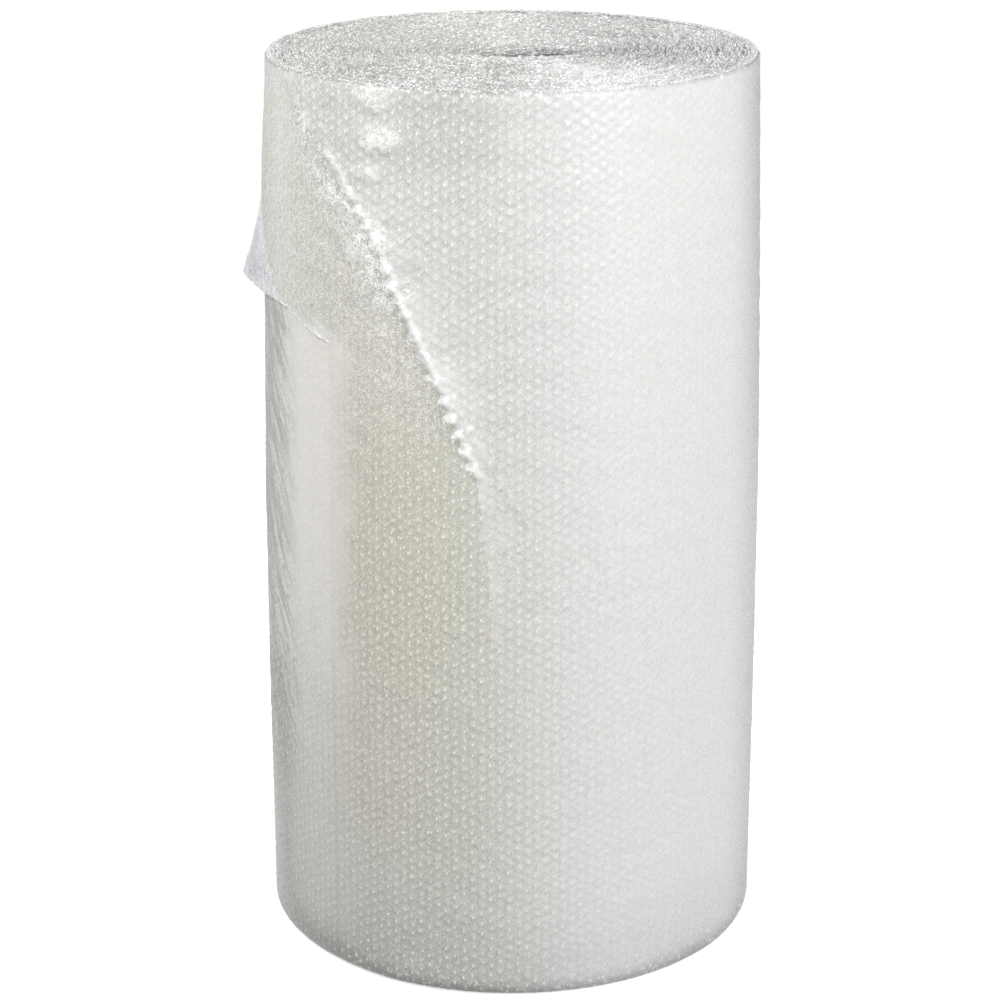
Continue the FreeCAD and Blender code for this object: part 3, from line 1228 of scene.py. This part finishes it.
    def level(self, place: np.ndarray, out: np.ndarray) -> np.ndarray:
        """Works out how far inside the end's plane the film's edges lie, before any scatter.

        Args:
            place: Where each point is on the end.
            out: The share of the way out from the slit.

        Returns:
            The depth of each point.
        """
        _, rim_drop = self.rim()
        at_rim = smooth_step(0.94, 0.985, out)
        if self.end is End.FOOT:
            return rim_drop * at_rim**2
        sunk = 9.0 * MM * np.exp(-out / 0.05)
        uneven = 1.2 * MM * (1 + soft_noise(place[:, 0] / 0.09, place[:, 1] / 0.07, 51))
        return rim_drop * at_rim + (sunk + uneven) * (1 - at_rim)

    def build(self) -> bpy.types.Object:
        """Builds the wound edge as one ribbon with two raised film edges and a groove.

        Returns:
            The piece.
        """
        place, out, along, half = self.centreline()
        tangent = np.gradient(place, axis=0)
        tangent /= np.linalg.norm(tangent, axis=1, keepdims=True)
        outward = np.stack([-tangent[:, 1], tangent[:, 0]], axis=-1)
        outward *= np.sign(np.sum(outward * place, axis=1).mean())
        rng = np.random.default_rng([61, self.first_turn, self.end is End.TOP])
        count = len(place)
        level = self.level(place, out)
        phase = along / self.lattice.pitch + 0.5 * soft_noise(along / 0.08, out * 40, 63)
        scallop = self.scallop * np.abs(np.sin(math.pi * phase))
        scatter = self.edge_scatter * soft_noise(along / 0.013, out * self.turns, 64)
        calm = 1 - 0.75 * smooth_step(0.95, 0.985, out)
        rise = rng.uniform(0, 1, (2, count)) ** 1.5 * self.glitter * calm
        inner = np.maximum(level + (0.6 * scallop + scatter) * calm + rise[0], -0.8 * MM)
        outer = np.maximum(level + (0.4 * scallop + scatter) * calm + rise[1], -0.8 * MM)
        shares = (-1.0, -0.5, 0.5, 1.0)
        skirt = self.skirt * smooth_step(0.975, 0.99, out)
        drops = (level + self.groove, inner, outer, level + self.groove + skirt)
        jitter = (0.0, 0.45, 0.45, 0.0)
        rows = []
        for share, drop, wobble in zip(shares, drops, jitter):
            shift = half * share + wobble * MM * rng.uniform(-1, 1, count)
            spot = place + outward * shift[:, None]
            z = self.form.height - drop if self.end is End.TOP else np.maximum(drop, 0)
            rows.append(np.column_stack([spot, z]))
        points = np.stack(rows, axis=1).reshape(-1, 3)
        width = len(shares)
        start = np.arange(count - 1)[:, None] * width + np.arange(width - 1)[None, :]
        quads = np.stack([start, start + 1, start + width + 1, start + width], axis=-1)
        quads = quads.reshape(-1, 4)
        quads = quads[:, ::-1] if self.end is End.TOP else quads
        across = np.tile(np.arange(width), count) * self.section
        web = np.stack([np.repeat(along, width), across], axis=-1)
        name = f"wound_edges_{self.end.value}_{self.first_turn}"
        marks = {mark: np.repeat(values, width) for mark, values in self.marks(place, out).items()}
        # Painted glints on a few film edges, and a random darker tone on others.
        uneven = rng.uniform(0, 1, (2, count * width))
        shade = marks[FilmMark.SHADE]
        marks[FilmMark.CREASE_AND_GLINT] = np.where(uneven[0] > 0.86, 3.2, 0.0) * (1 - 0.8 * shade)
        marks[FilmMark.SHADE] = np.clip(shade + 0.45 * uneven[1] ** 2, 0, 1)
        return make_piece(name, points, quads, web, marks, smooth=False)


@dataclass(frozen=True)
class InnermostTurn:
    """The wall of the flattened centre, from end to end."""

    end: WoundEnd
    round_steps: int = 72
    up_steps: int = 150

    def build(self) -> bpy.types.Object:
        """Builds the wall as an upright tube with a narrow oval section.

        Returns:
            The piece.
        """
        side = np.linspace(0, 2 * math.pi, self.round_steps, endpoint=False)
        lift = np.linspace(6.0 * MM, self.end.form.height - 14.0 * MM, self.up_steps)
        angle, z = np.meshgrid(side, lift, indexing="ij")
        pinch = 1 + 0.35 * soft_noise(angle * 2 / math.pi, z / 0.12, 71) * (np.abs(np.sin(angle)))
        tilt = math.radians(self.end.slit_turn)
        long_way = self.end.slit_half_length * np.cos(angle)
        short_way = self.end.slit_half_width * np.sin(angle) * pinch
        x = self.end.slit_to_right + long_way * math.cos(tilt) - short_way * math.sin(tilt)
        y = -self.end.slit_to_front + long_way * math.sin(tilt) + short_way * math.cos(tilt)
        index = np.arange(angle.size).reshape(angle.shape)
        here = index[:, :-1]
        up = index[:, 1:]
        beside = np.roll(index, -1, axis=0)
        quads = np.stack([here, up, beside[:, 1:], beside[:, :-1]], axis=-1).reshape(-1, 4)
        web = np.stack([angle.ravel() * self.end.slit_half_length, z.ravel()], axis=-1)
        return make_piece("innermost_turn", np.stack([x, y, z], -1).reshape(-1, 3), quads, web)


FLOAT = "NodeSocketFloat"
COLOUR = "NodeSocketColor"
VECTOR = "NodeSocketVector"
Socket = bpy.types.NodeSocket
Tint = tuple[float, float, float, float]
Feed = Socket | Tint | float


class NodeSheet:
    """Places and joins shader nodes in one tree."""

    def __init__(self, tree: bpy.types.NodeTree) -> None:
        """Starts on an empty tree."""
        self.tree = tree

    @classmethod
    def on(cls, owner: bpy.types.Material | bpy.types.World) -> "NodeSheet":
        """Starts the nodes of a material or a world afresh.

        Args:
            owner: The material or the world.

        Returns:
            Its empty sheet.
        """
        owner.use_nodes = True
        owner.node_tree.nodes.clear()
        return cls(owner.node_tree)

    def feed(self, value: Feed, target: Socket) -> None:
        """Gives an input another node's result, or a fixed value.

        Args:
            value: The result or the value.
            target: The input.
        """
        if isinstance(value, Socket):
            self.tree.links.new(value, target)
        else:
            target.default_value = value

    def add(self, kind: str, *feeds: Feed, **settings: object) -> bpy.types.Node:
        """Adds a node.

        Args:
            kind: The node's type.
            feeds: What goes into its first inputs, in order.
            settings: Properties of the node, or what goes into its inputs by name.

        Returns:
            The node.
        """
        node = self.tree.nodes.new(kind)
        for name, value in settings.items():
            if hasattr(node, name):
                setattr(node, name, value)
            else:
                self.feed(value, node.inputs[name.replace("_", " ")])
        for value, target in zip(feeds, node.inputs):
            self.feed(value, target)
        return node

    def group(self, tree: bpy.types.NodeTree, **feeds: Feed) -> bpy.types.NodeOutputs:
        """Places a node group and gives its outputs."""
        return self.add("ShaderNodeGroup", node_tree=tree, **feeds).outputs

    def mark(self, mark: FilmMark) -> Socket:
        """The film's state at each point, as the mesh keeps it."""
        return self.add("ShaderNodeAttribute", attribute_name=mark.value).outputs["Fac"]

    def math(self, operation: str, *values: Feed) -> Socket:
        """The result of a sum on one to three values."""
        return self.add("ShaderNodeMath", *values, operation=operation).outputs[0]

    def times(self, *values: Feed) -> Socket:
        """The product of two or more values."""
        return reduce(lambda first, second: self.math("MULTIPLY", first, second), values)

    def vector(self, operation: str, *values: Feed) -> Socket:
        """The result of a vector sum, which for LENGTH is a value."""
        node = self.add("ShaderNodeVectorMath", *values, operation=operation)
        return node.outputs["Value" if operation == "LENGTH" else "Vector"]

    def scaled(self, place: Socket, share: Feed) -> Socket:
        """A place at another scale."""
        return self.add("ShaderNodeVectorMath", place, operation="SCALE", Scale=share).outputs[0]

    def ramp(self, value: Socket, *limits: float, soft: bool = False) -> Socket:
        """Adds a clamped ramp.

        Args:
            value: What the ramp follows.
            limits: The value at each end of the ramp, and then what the ramp gives there.
            soft: Whether the ramp eases in and out.

        Returns:
            What the ramp gives, from 0 to 1 unless the limits say more.
        """
        kind = "SMOOTHSTEP" if soft else "LINEAR"
        node = self.add("ShaderNodeMapRange", value, *limits, interpolation_type=kind)
        return node.outputs["Result"]

    def spread(self, share: Socket, low: float, high: float) -> Socket:
        """Maps a value from 0 to 1 onto a range."""
        return self.ramp(share, 0.0, 1.0, low, high)

    def mix(
        self, share: Feed, under: Feed, over: Feed, mode: str = "MIX", kind: str = "RGBA"
    ) -> Socket:
        """Blends one colour or vector over another."""
        feeds = {"Factor": share, "A": under, "B": over}
        return self.add("ShaderNodeMix", data_type=kind, blend_type=mode, **feeds).outputs["Result"]

    def noise(self, place: Socket, scale: Feed, detail: float, **settings: float) -> Socket:
        """Smooth noise over the flat web, around one half."""
        feeds = {"Vector": place, "Scale": scale, "Detail": detail, **settings}
        return self.add("ShaderNodeTexNoise", noise_dimensions="2D", **feeds).outputs["Fac"]

    def wander(self, value: Socket) -> Socket:
        """How far a value around one half is from it."""
        return self.math("ABSOLUTE", self.math("SUBTRACT", value, 0.5))


def start_group(name: str, inputs: dict[str, str], outputs: dict[str, str]) -> tuple:
    """Starts a shader node group.

    Args:
        name: The group's name.
        inputs: The type of each input socket, by name.
        outputs: The type of each output socket, by name.

    Returns:
        The group's sheet, what it is given, and what it has to fill.
    """
    tree = bpy.data.node_groups.new(name, "ShaderNodeTree")
    for sockets, way in ((inputs, "INPUT"), (outputs, "OUTPUT")):
        for socket, kind in sockets.items():
            tree.interface.new_socket(name=socket, in_out=way, socket_type=kind)
    sheet = NodeSheet(tree)
    return sheet, sheet.add("NodeGroupInput").outputs, sheet.add("NodeGroupOutput").inputs


def build_cloud_group() -> bpy.types.NodeTree:
    """Builds slow drifts between two tints, where more or fewer layers show through the film.

    Returns:
        The group.
    """
    inputs = {"Place": VECTOR, "Warm": COLOUR, "Green": COLOUR, "Size": FLOAT}
    sheet, given, out = start_group("film_clouds", inputs, {"Color": COLOUR})
    slow = sheet.noise(given["Place"], given["Size"], 2.0)
    blotch = sheet.noise(given["Place"], sheet.times(given["Size"], 2.7), 3.0, Roughness=0.6)
    tint = sheet.mix(sheet.ramp(slow, 0.4, 0.6, soft=True), given["Warm"], given["Green"])
    tint = sheet.mix(sheet.ramp(blotch, 0.42, 0.62, soft=True), tint, given["Warm"])
    sheet.feed(tint, out["Color"])
    return sheet.tree


def build_lattice_group() -> bpy.types.NodeTree:
    """Builds the bubbles in step with the mesh: domes, painted highlights and painted shade.

    Returns:
        The group.
    """
    inputs = {"Place": VECTOR, "Pitch": FLOAT, "Wander": FLOAT}
    outputs = {"Dome": FLOAT, "Highlight": FLOAT, "GapShade": FLOAT, "Random": FLOAT}
    sheet, given, out = start_group("bubble_lattice", inputs, outputs)
    pitch = given["Pitch"]
    wide = sheet.times(pitch, math.sqrt(3))
    cell = sheet.add("ShaderNodeCombineXYZ", wide, pitch, 1.0).outputs[0]
    place = sheet.vector("DIVIDE", given["Place"], cell)
    found = []
    for shift in (0.5, 1.0):
        moved = sheet.vector("ADD", place, (shift, shift, 0))
        whole = sheet.vector("FLOOR", moved)
        centred = sheet.vector("SUBTRACT", sheet.vector("SUBTRACT", moved, whole), (0.5, 0.5, 0))
        offset = sheet.vector("MULTIPLY", centred, cell)
        name = sheet.vector("ADD", whole, (shift * 0.71, shift * 1.37, 0))
        found.append((sheet.vector("LENGTH", offset), offset, name))
    nearer = sheet.math("LESS_THAN", found[0][0], found[1][0])
    offset, name = (sheet.mix(nearer, found[1][k], found[0][k], kind="VECTOR") for k in (1, 2))
    # Painted shade between the columns of bubbles.
    aside = sheet.math("ABSOLUTE", sheet.add("ShaderNodeSeparateXYZ", offset).outputs["X"])
    sheet.feed(sheet.ramp(sheet.math("DIVIDE", aside, pitch), 0.26, 0.43, soft=True), out["GapShade"])
    random = sheet.add("ShaderNodeTexWhiteNoise", noise_dimensions="2D", Vector=name).outputs
    push = sheet.vector("SUBTRACT", random["Color"], (0.5, 0.5, 0.5))
    moved = sheet.vector("ADD", offset, sheet.scaled(push, sheet.times(given["Wander"], pitch)))
    # A painted highlight near each bubble's middle.
    shapes = {"Dome": ((1, 1, 0), 0.48, 0.12), "Highlight": ((1.35, 0.8, 0), 0.155, 0.08)}
    for target, (squeeze, low, high) in shapes.items():
        reach = sheet.vector("LENGTH", sheet.vector("MULTIPLY", moved, squeeze))
        reach = sheet.math("DIVIDE", reach, pitch)
        sheet.feed(sheet.ramp(reach, low, high, soft=True), out[target])
    sheet.feed(random["Value"], out["Random"])
    return sheet.tree


def build_grain_group() -> bpy.types.NodeTree:
    """Builds the film's grain and streaks, with painted highlights on wrinkles and single glints.

    Returns:
        The group.
    """
    inputs = {"Place": VECTOR, "Size": FLOAT}
    outputs = {"Grain": FLOAT, "Streak": FLOAT, "Wrinkle": FLOAT, "Crinkle": FLOAT, "Glint": FLOAT}
    sheet, given, out = start_group("film_grain", inputs, outputs)
    place = sheet.scaled(given["Place"], given["Size"])

    def cells(share: float) -> tuple[Socket, bpy.types.NodeOutputs]:
        """Divides the film into random cells.

        Args:
            share: How fine the cells are.

        Returns:
            How far each point is from its cell's middle, and the cell's chances.
        """
        spot = sheet.scaled(place, share)
        cell = sheet.add("ShaderNodeTexVoronoi", voronoi_dimensions="2D", Vector=spot, Scale=1.0)
        chances = sheet.add("ShaderNodeSeparateColor", cell.outputs["Color"]).outputs
        return cell.outputs["Distance"], chances

    def ridges(share: float, twist: float, width: float) -> Socket:
        """Thin crisp lines that wander."""
        noise = sheet.noise(sheet.scaled(place, share), 1.0, 1.0, Distortion=twist)
        return sheet.ramp(sheet.wander(noise), width, width * 0.25)

    soft = sheet.ramp(sheet.noise(sheet.scaled(place, 0.8), 1.0, 1.0, Roughness=0.6), 0.3, 0.7)
    grains = cells(0.9)[1]
    turned = {"Rotation": (0, 0, math.radians(45)), "Scale": (13.0, 1.7, 1.0)}
    slanting = sheet.add("ShaderNodeMapping", place, vector_type="TEXTURE", **turned).outputs[0]
    away, chances = cells(0.40)
    results = {
        "Grain": sheet.times(sheet.math("ADD", soft, grains["Red"]), 0.5),
        "Streak": sheet.ramp(sheet.noise(slanting, 1.0, 2.0, Roughness=0.6), 0.3, 0.7),
        "Wrinkle": ridges(0.25, 1.2, 0.08),
        "Crinkle": ridges(0.13, 1.6, 0.11),
        "Glint": sheet.times(sheet.ramp(away, 0.42, 0.22), sheet.ramp(chances["Green"], 0.5, 0.9)),
    }
    for name, value in results.items():
        sheet.feed(value, out[name])
    return sheet.tree


def build_chain_group() -> bpy.types.NodeTree:
    """Builds the main fold: pinched bubbles as a chain of ragged diamonds of painted highlight.

    Returns:
        The group.
    """
    numbers = ("Away", "Along", "Spacing", "Link", "Bead")
    inputs = {"Place": VECTOR, **{name: FLOAT for name in numbers}}
    sheet, given, out = start_group("fold_chain_highlight", inputs, {"Chain": FLOAT})

    def drift(scale: float, reach: float) -> Socket:
        """A wandering value, up to half the reach either way."""
        noise = sheet.noise(given["Place"], scale, 1.0)
        return sheet.times(sheet.math("SUBTRACT", noise, 0.5), reach)

    away = sheet.math("ABSOLUTE", sheet.math("ADD", given["Away"], drift(120.0, 0.006)))
    beat = sheet.math("DIVIDE", given["Along"], given["Spacing"])
    beat = sheet.math("FRACT", sheet.math("ADD", beat, drift(18.0, 1.6)))
    bulge = sheet.math("MAXIMUM", sheet.math("MULTIPLY_ADD", sheet.wander(beat), -4.2, 1.35), 0.0)
    bulge = sheet.math("MINIMUM", bulge, 1.0)
    reach = sheet.math("ADD", sheet.times(bulge, given["Bead"]), given["Link"])
    sheet.feed(sheet.ramp(sheet.math("SUBTRACT", reach, away), 0.0, 1.4 * MM), out["Chain"])
    return sheet.tree


@dataclass(frozen=True)
class FilmGroups:
    """The node groups that the film finishes share."""

    clouds: bpy.types.NodeTree
    lattice: bpy.types.NodeTree
    grain: bpy.types.NodeTree
    chain: bpy.types.NodeTree

    @classmethod
    def build(cls) -> "FilmGroups":
        """Builds each group once."""
        return cls(
            build_cloud_group(), build_lattice_group(), build_grain_group(), build_chain_group()
        )


@dataclass(frozen=True)
class FilmFinish:
    """Clear film, milky from the layers under it."""

    name: str
    warm: Tint = (0.628, 0.603, 0.498, 1.0)
    green: Tint = (0.603, 0.608, 0.500, 1.0)
    cool: Tint = (0.645, 0.648, 0.630, 1.0)
    # Film pulled smooth, brighter partly as a painted reflection of the white surround.
    pulled: Tint = (0.895, 0.868, 0.815, 1.0)
    # Milky film, and the colour of the painted light on the right and the front.
    milky: Tint = (0.865, 0.860, 0.845, 1.0)
    # The white that painted highlights are mixed towards.
    bright: Tint = (0.99, 0.99, 0.985, 1.0)
    # The grey that painted shade is mixed towards.
    shade_colour: Tint = (0.45, 0.452, 0.450, 1.0)
    grain_depth: float = 0.17
    streak_depth: float = 0.12
    highlight_strength: float = 1.0
    wrinkle_glint_strength: float = 0.35
    glint_strength: float = 0.22
    haze_and_light_strength: float = 0.75
    smooth_strength: float = 0.8
    bubble_pitch: float = 11.33 * MM
    peak_wander: float = 0.30
    grain_size: float = 900.0
    cloud_size: float = 5.0
    dome_relief: float = 0.10
    grain_relief: float = 0.12
    wrinkle_relief: float = 0.10
    fold_spacing: float = 21.0 * MM
    fold_link: float = 0.3 * MM
    fold_bead: float = 8.0 * MM
    gap_shade_depth: float = 0.12
    under_strength: float = 0.7
    under_pitch: float = 10.4 * MM
    under_turn: float = 21.0
    roughness: float = 0.30
    coat: float = 0.3
    coat_roughness: float = 0.10
    alpha: float = 1.0
    folded: bool = False

    def build(self, groups: FilmGroups) -> bpy.types.Material:
        """Builds the material.

        Args:
            groups: The node groups that the film finishes share.

        Returns:
            The material.
        """
        material = bpy.data.materials.new(self.name)
        sheet = NodeSheet.on(material)
        web = sheet.add("ShaderNodeUVMap", uv_map=WEB_UV).outputs["UV"]
        solid = sheet.add("ShaderNodeTexCoord").outputs["Object"]
        turn = (0, 0, math.radians(self.under_turn))
        aslant = sheet.add("ShaderNodeMapping", web, Rotation=turn).outputs[0]
        tints = {"Warm": self.warm, "Green": self.green}
        clouds = sheet.group(groups.clouds, Place=solid, Size=self.cloud_size, **tints)
        wander = {"Wander": self.peak_wander}
        lattice = sheet.group(groups.lattice, Place=web, Pitch=self.bubble_pitch, **wander)
        below = sheet.group(groups.lattice, Place=aslant, Pitch=self.under_pitch, **wander)
        grain = sheet.group(groups.grain, Place=web, Size=self.grain_size)
        crumple = sheet.mark(FilmMark.CRUMPLE)
        haze_and_light = sheet.mark(FilmMark.HAZE_AND_LIGHT)
        smooth = sheet.mark(FilmMark.SMOOTH)
        warmth = sheet.mark(FilmMark.WARMTH)
        shade = sheet.mark(FilmMark.SHADE)
        gap_shade = sheet.times(
            lattice["GapShade"], sheet.spread(haze_and_light, self.gap_shade_depth, 0.0), sheet.spread(smooth, 1.0, 0.2)
        )
        roughened = sheet.spread(smooth, 1.0, 0.3)
        calmed = sheet.times(roughened, sheet.spread(haze_and_light, 1.0, 0.4))
        even = sheet.spread(grain["Grain"], 1 - self.grain_depth, 1 + self.grain_depth)
        slanting = sheet.spread(grain["Streak"], 1 - self.streak_depth, 1 + self.streak_depth)
        glints = sheet.times(
            grain["Glint"], sheet.spread(crumple, self.glint_strength, 0.9), roughened
        )
        strength = sheet.times(
            sheet.spread(lattice["Random"], 0.45, 1.0),
            sheet.spread(smooth, 1.0, 0.0),
            sheet.spread(crumple, self.highlight_strength, 0.4),
            sheet.spread(haze_and_light, 1.0, 0.3),
        )
        lines = sheet.spread(crumple, self.wrinkle_glint_strength * 0.4, self.wrinkle_glint_strength * 1.3)
        ragged = sheet.spread(grain["Crinkle"], 0.34, 1.15)
        creased = sheet.times(sheet.mark(FilmMark.CREASE_AND_GLINT), ragged)
        # Painted shade, then painted highlights: glints, the bubbles' highlights and those of the
        # layer beneath, and the wrinkle, crease and fold highlights.
        layers = [
            ("MIX", self.milky, sheet.times(haze_and_light, self.haze_and_light_strength)),
            ("MIX", self.pulled, sheet.times(smooth, self.smooth_strength)),
            ("MULTIPLY", self.shade_colour, shade),
            ("MULTIPLY", self.shade_colour, gap_shade),
            ("MULTIPLY", even, calmed),
            ("MULTIPLY", slanting, calmed),
            ("MIX", self.bright, glints),
            ("MIX", self.bright, sheet.times(lattice["Highlight"], strength)),
            ("MIX", self.bright, sheet.times(below["Highlight"], strength, self.under_strength, warmth)),
            ("MIX", self.bright, sheet.times(grain["Wrinkle"], lines, roughened)),
            ("MIX", self.bright, sheet.ramp(creased, 0.28, 1.15)),
        ]
        # The main fold's chain of painted highlights, on film a little whiter where pinched.
        if self.folded:
            chain = sheet.group(
                groups.chain,
                Place=web,
                Away=sheet.mark(FilmMark.FOLD_AWAY),
                Along=sheet.mark(FilmMark.FOLD_ALONG),
                Spacing=self.fold_spacing,
                Link=self.fold_link,
                Bead=self.fold_bead,
            )
            layers.append(("MIX", self.bright, chain["Chain"]))
        colour = sheet.mix(warmth, self.cool, clouds["Color"])
        for mode, over, share in layers:
            colour = sheet.mix(share, colour, over, mode)
        relief = sheet.times(grain["Grain"], self.grain_relief)
        relief = sheet.math("MULTIPLY_ADD", lattice["Dome"], self.dome_relief, relief)
        relief = sheet.math("MULTIPLY_ADD", grain["Wrinkle"], self.wrinkle_relief, relief)
        shader = sheet.add(
            "ShaderNodeBsdfPrincipled",
            IOR=1.5,
            Alpha=self.alpha,
            Coat_Roughness=self.coat_roughness,
            Coat_Weight=sheet.spread(shade, self.coat, 0.0),
            Base_Color=colour,
            Roughness=sheet.spread(grain["Grain"], self.roughness * 0.75, self.roughness * 1.25),
            Normal=sheet.add("ShaderNodeBump", Distance=MM, Height=relief).outputs["Normal"],
        )
        sheet.add("ShaderNodeOutputMaterial", Surface=shader.outputs["BSDF"])
        return material


@dataclass(frozen=True)
class Softbox:
    """A square studio light that faces the roll."""

    name: str
    bearing: float
    distance: float
    height: float
    width: float
    tall: float
    power: float
    aim_height: float = 0.5

    def build(self) -> bpy.types.Object:
        """Makes the light and turns it towards the roll.

        Returns:
            The light.
        """
        light = bpy.data.lights.new(self.name, "AREA")
        light.shape = "RECTANGLE"
        light.size = self.width
        light.size_y = self.tall
        light.energy = self.power
        lamp = in_scene(self.name, light)
        angle = math.radians(self.bearing)
        across = -self.distance * math.sin(angle)
        lamp.location = (across, -self.distance * math.cos(angle), self.height)
        aim = Vector((0, 0, self.aim_height)) - lamp.location
        lamp.rotation_mode = "QUATERNION"
        lamp.rotation_quaternion = aim.to_track_quat("-Z", "Y")
        return lamp


@dataclass(frozen=True)
class Studio:
    """A white floor, soft lights and the camera at the photograph's place."""

    photo_size: float = 1000.0
    camera_distance: float = 3.2028
    camera_height: float = 1.5309
    camera_pitch: float = 18.11
    focal_pixels: float = 2961.0
    roll_right_of_centre: float = 11.8
    ambient: float = 0.40
    floor_colour: float = 0.26
    floor_seen: float = 0.93
    floor_glow: float = 0.63
    floor_corners: int = 64
    floor_radius: float = 40.0
    floor_gap: float = 0.2 * MM

    def build_camera(self) -> None:
        """Makes the camera, turned a little so that the roll stands right of centre."""
        data = bpy.data.cameras.new("camera")
        data.sensor_width = 36.0
        data.lens = self.focal_pixels / self.photo_size * data.sensor_width
        camera = in_scene("camera", data)
        camera.location = (0, -self.camera_distance, self.camera_height)
        yaw = math.atan(self.roll_right_of_centre / self.focal_pixels)
        camera.rotation_euler = (math.radians(90 - self.camera_pitch), 0, yaw)
        bpy.context.scene.camera = camera

    def seen_directly(self, sheet: NodeSheet) -> Socket:
        """Tells what the camera sees from what only lights the roll.

        Args:
            sheet: The nodes to add to.

        Returns:
            1 for what is seen straight, mirrored or through film, and otherwise 0.
        """
        path = sheet.add("ShaderNodeLightPath").outputs
        seen = sheet.math("MAXIMUM", path["Is Camera Ray"], path["Is Glossy Ray"])
        return sheet.math("MAXIMUM", seen, path["Is Transmission Ray"])

    def build_world(self) -> None:
        """Makes an even white surround, full white where it is seen or mirrored."""
        world = bpy.data.worlds.new("white_surround")
        bpy.context.scene.world = world
        sheet = NodeSheet.on(world)
        strength = sheet.spread(self.seen_directly(sheet), self.ambient, 1.0)
        white = sheet.add("ShaderNodeBackground", Color=(1.0, 1.0, 1.0, 1.0), Strength=strength)
        sheet.add("ShaderNodeOutputWorld", Surface=white.outputs["Background"])

    def build_floor(self) -> None:
        """Makes the floor, a wide disc a little under the roll's foot."""
        angles = np.linspace(0, 2 * math.pi, self.floor_corners, endpoint=False)
        ring = np.stack([np.cos(angles), np.sin(angles), 0 * angles], axis=-1) * self.floor_radius
        mesh = bpy.data.meshes.new("floor")
        mesh.from_pydata(ring.tolist(), [], [list(range(self.floor_corners))])
        floor = in_scene("floor", mesh)
        floor.location.z = -self.floor_gap
        material = bpy.data.materials.new("white_floor")
        sheet = NodeSheet.on(material)
        seen = self.seen_directly(sheet)
        tone = sheet.spread(seen, self.floor_colour, self.floor_seen)
        matt = sheet.add("ShaderNodeBsdfDiffuse", Color=tone)
        glow = sheet.add("ShaderNodeEmission", Strength=sheet.times(seen, self.floor_glow))
        both = sheet.add("ShaderNodeAddShader", matt.outputs["BSDF"], glow.outputs["Emission"])
        sheet.add("ShaderNodeOutputMaterial", Surface=both.outputs[0])
        mesh.materials.append(material)

    def build_lights(self) -> None:
        """Makes the soft lights."""
        lights = (
            Softbox("key_light", -38.0, 2.7, 1.9, 1.1, 2.4, 60.0, 0.7),
            Softbox("left_light", 62.0, 1.6, 2.1, 0.9, 0.9, 29.0, 0.85),
            Softbox("top_light", -8.0, 0.8, 3.0, 1.6, 1.2, 6.0, 0.9),
        )
        for light in lights:
            light.build()

    def build(self) -> None:
        """Sets up the camera, the surround, the floor and the lights."""
        bpy.context.scene.view_settings.view_transform = "Standard"
        self.build_camera()
        self.build_world()
        self.build_floor()
        self.build_lights()


@dataclass(frozen=True)
class FilmFinishes:
    """The roll's finishes: loose film, cut edges and the thin turned-out corner."""

    side: FilmFinish = FilmFinish("side_film", folded=True)
    edges: FilmFinish = FilmFinish(
        "cut_film_edges",
        warm=(0.60, 0.575, 0.53, 1.0),
        green=(0.59, 0.585, 0.53, 1.0),
        cool=(0.60, 0.60, 0.59, 1.0),
        milky=(0.84, 0.84, 0.83, 1.0),
        grain_depth=0.60,
        streak_depth=0.0,
        highlight_strength=0.0,
        wrinkle_glint_strength=0.5,
        glint_strength=1.0,
        dome_relief=0.0,
        grain_relief=0.35,
        roughness=0.26,
    )
    corner: FilmFinish = FilmFinish(
        "single_film",
        warm=(0.74, 0.74, 0.77, 1.0),
        green=(0.74, 0.75, 0.78, 1.0),
        cool=(0.47, 0.47, 0.54, 1.0),
        roughness=0.22,
        coat=0.5,
        alpha=0.80,
    )
    # The centre's wall is darkened: painted shade for the slit.
    inner: FilmFinish = FilmFinish(
        "inner_film_shaded",
        warm=(0.22, 0.22, 0.21, 1.0),
        green=(0.22, 0.22, 0.21, 1.0),
        cool=(0.20, 0.20, 0.20, 1.0),
        highlight_strength=0.2,
        glint_strength=0.1,
    )


def dress(piece: bpy.types.Object, material: bpy.types.Material) -> None:
    """Gives a piece its finish, seats it on the roll and lets it stand for the solid.

    Args:
        piece: The piece.
        material: Its finish.
    """
    piece.data.materials.append(material)
    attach(piece, BODY)
    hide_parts(NODE)
    LOG.info("%s: %d faces", piece.name, len(piece.data.polygons))


def main() -> None:
    """Builds the roll and the studio round it."""
    logging.basicConfig(level=logging.INFO, format="%(name)s: %(message)s")
    form = Winding.from_frame()
    Studio().build()
    lattice = BubbleLattice()
    relief = FilmRelief(form, lattice)
    grid = WebGrid(lattice)
    groups = FilmGroups.build()
    finishes = FilmFinishes()
    side = finishes.side.build(groups)
    edges = finishes.edges.build(groups)
    corner = finishes.corner.build(groups)
    for piece in OuterTurns(form, relief, grid).build():
        dress(piece, side)
    dress(TurnedCorner(form, relief, grid).build(), corner)
    top = WoundEnd(form, lattice, End.TOP)
    for first, last in ((0, 33), (33, 112)):
        dress(WoundEnd(form, lattice, End.TOP, first_turn=first, last_turn=last).build(), edges)
    dress(WoundEnd(form, lattice, End.FOOT, step=9.0 * MM).build(), edges)
    dress(InnermostTurn(top).build(), finishes.inner.build(groups))


if __name__ == "__main__":
    main()
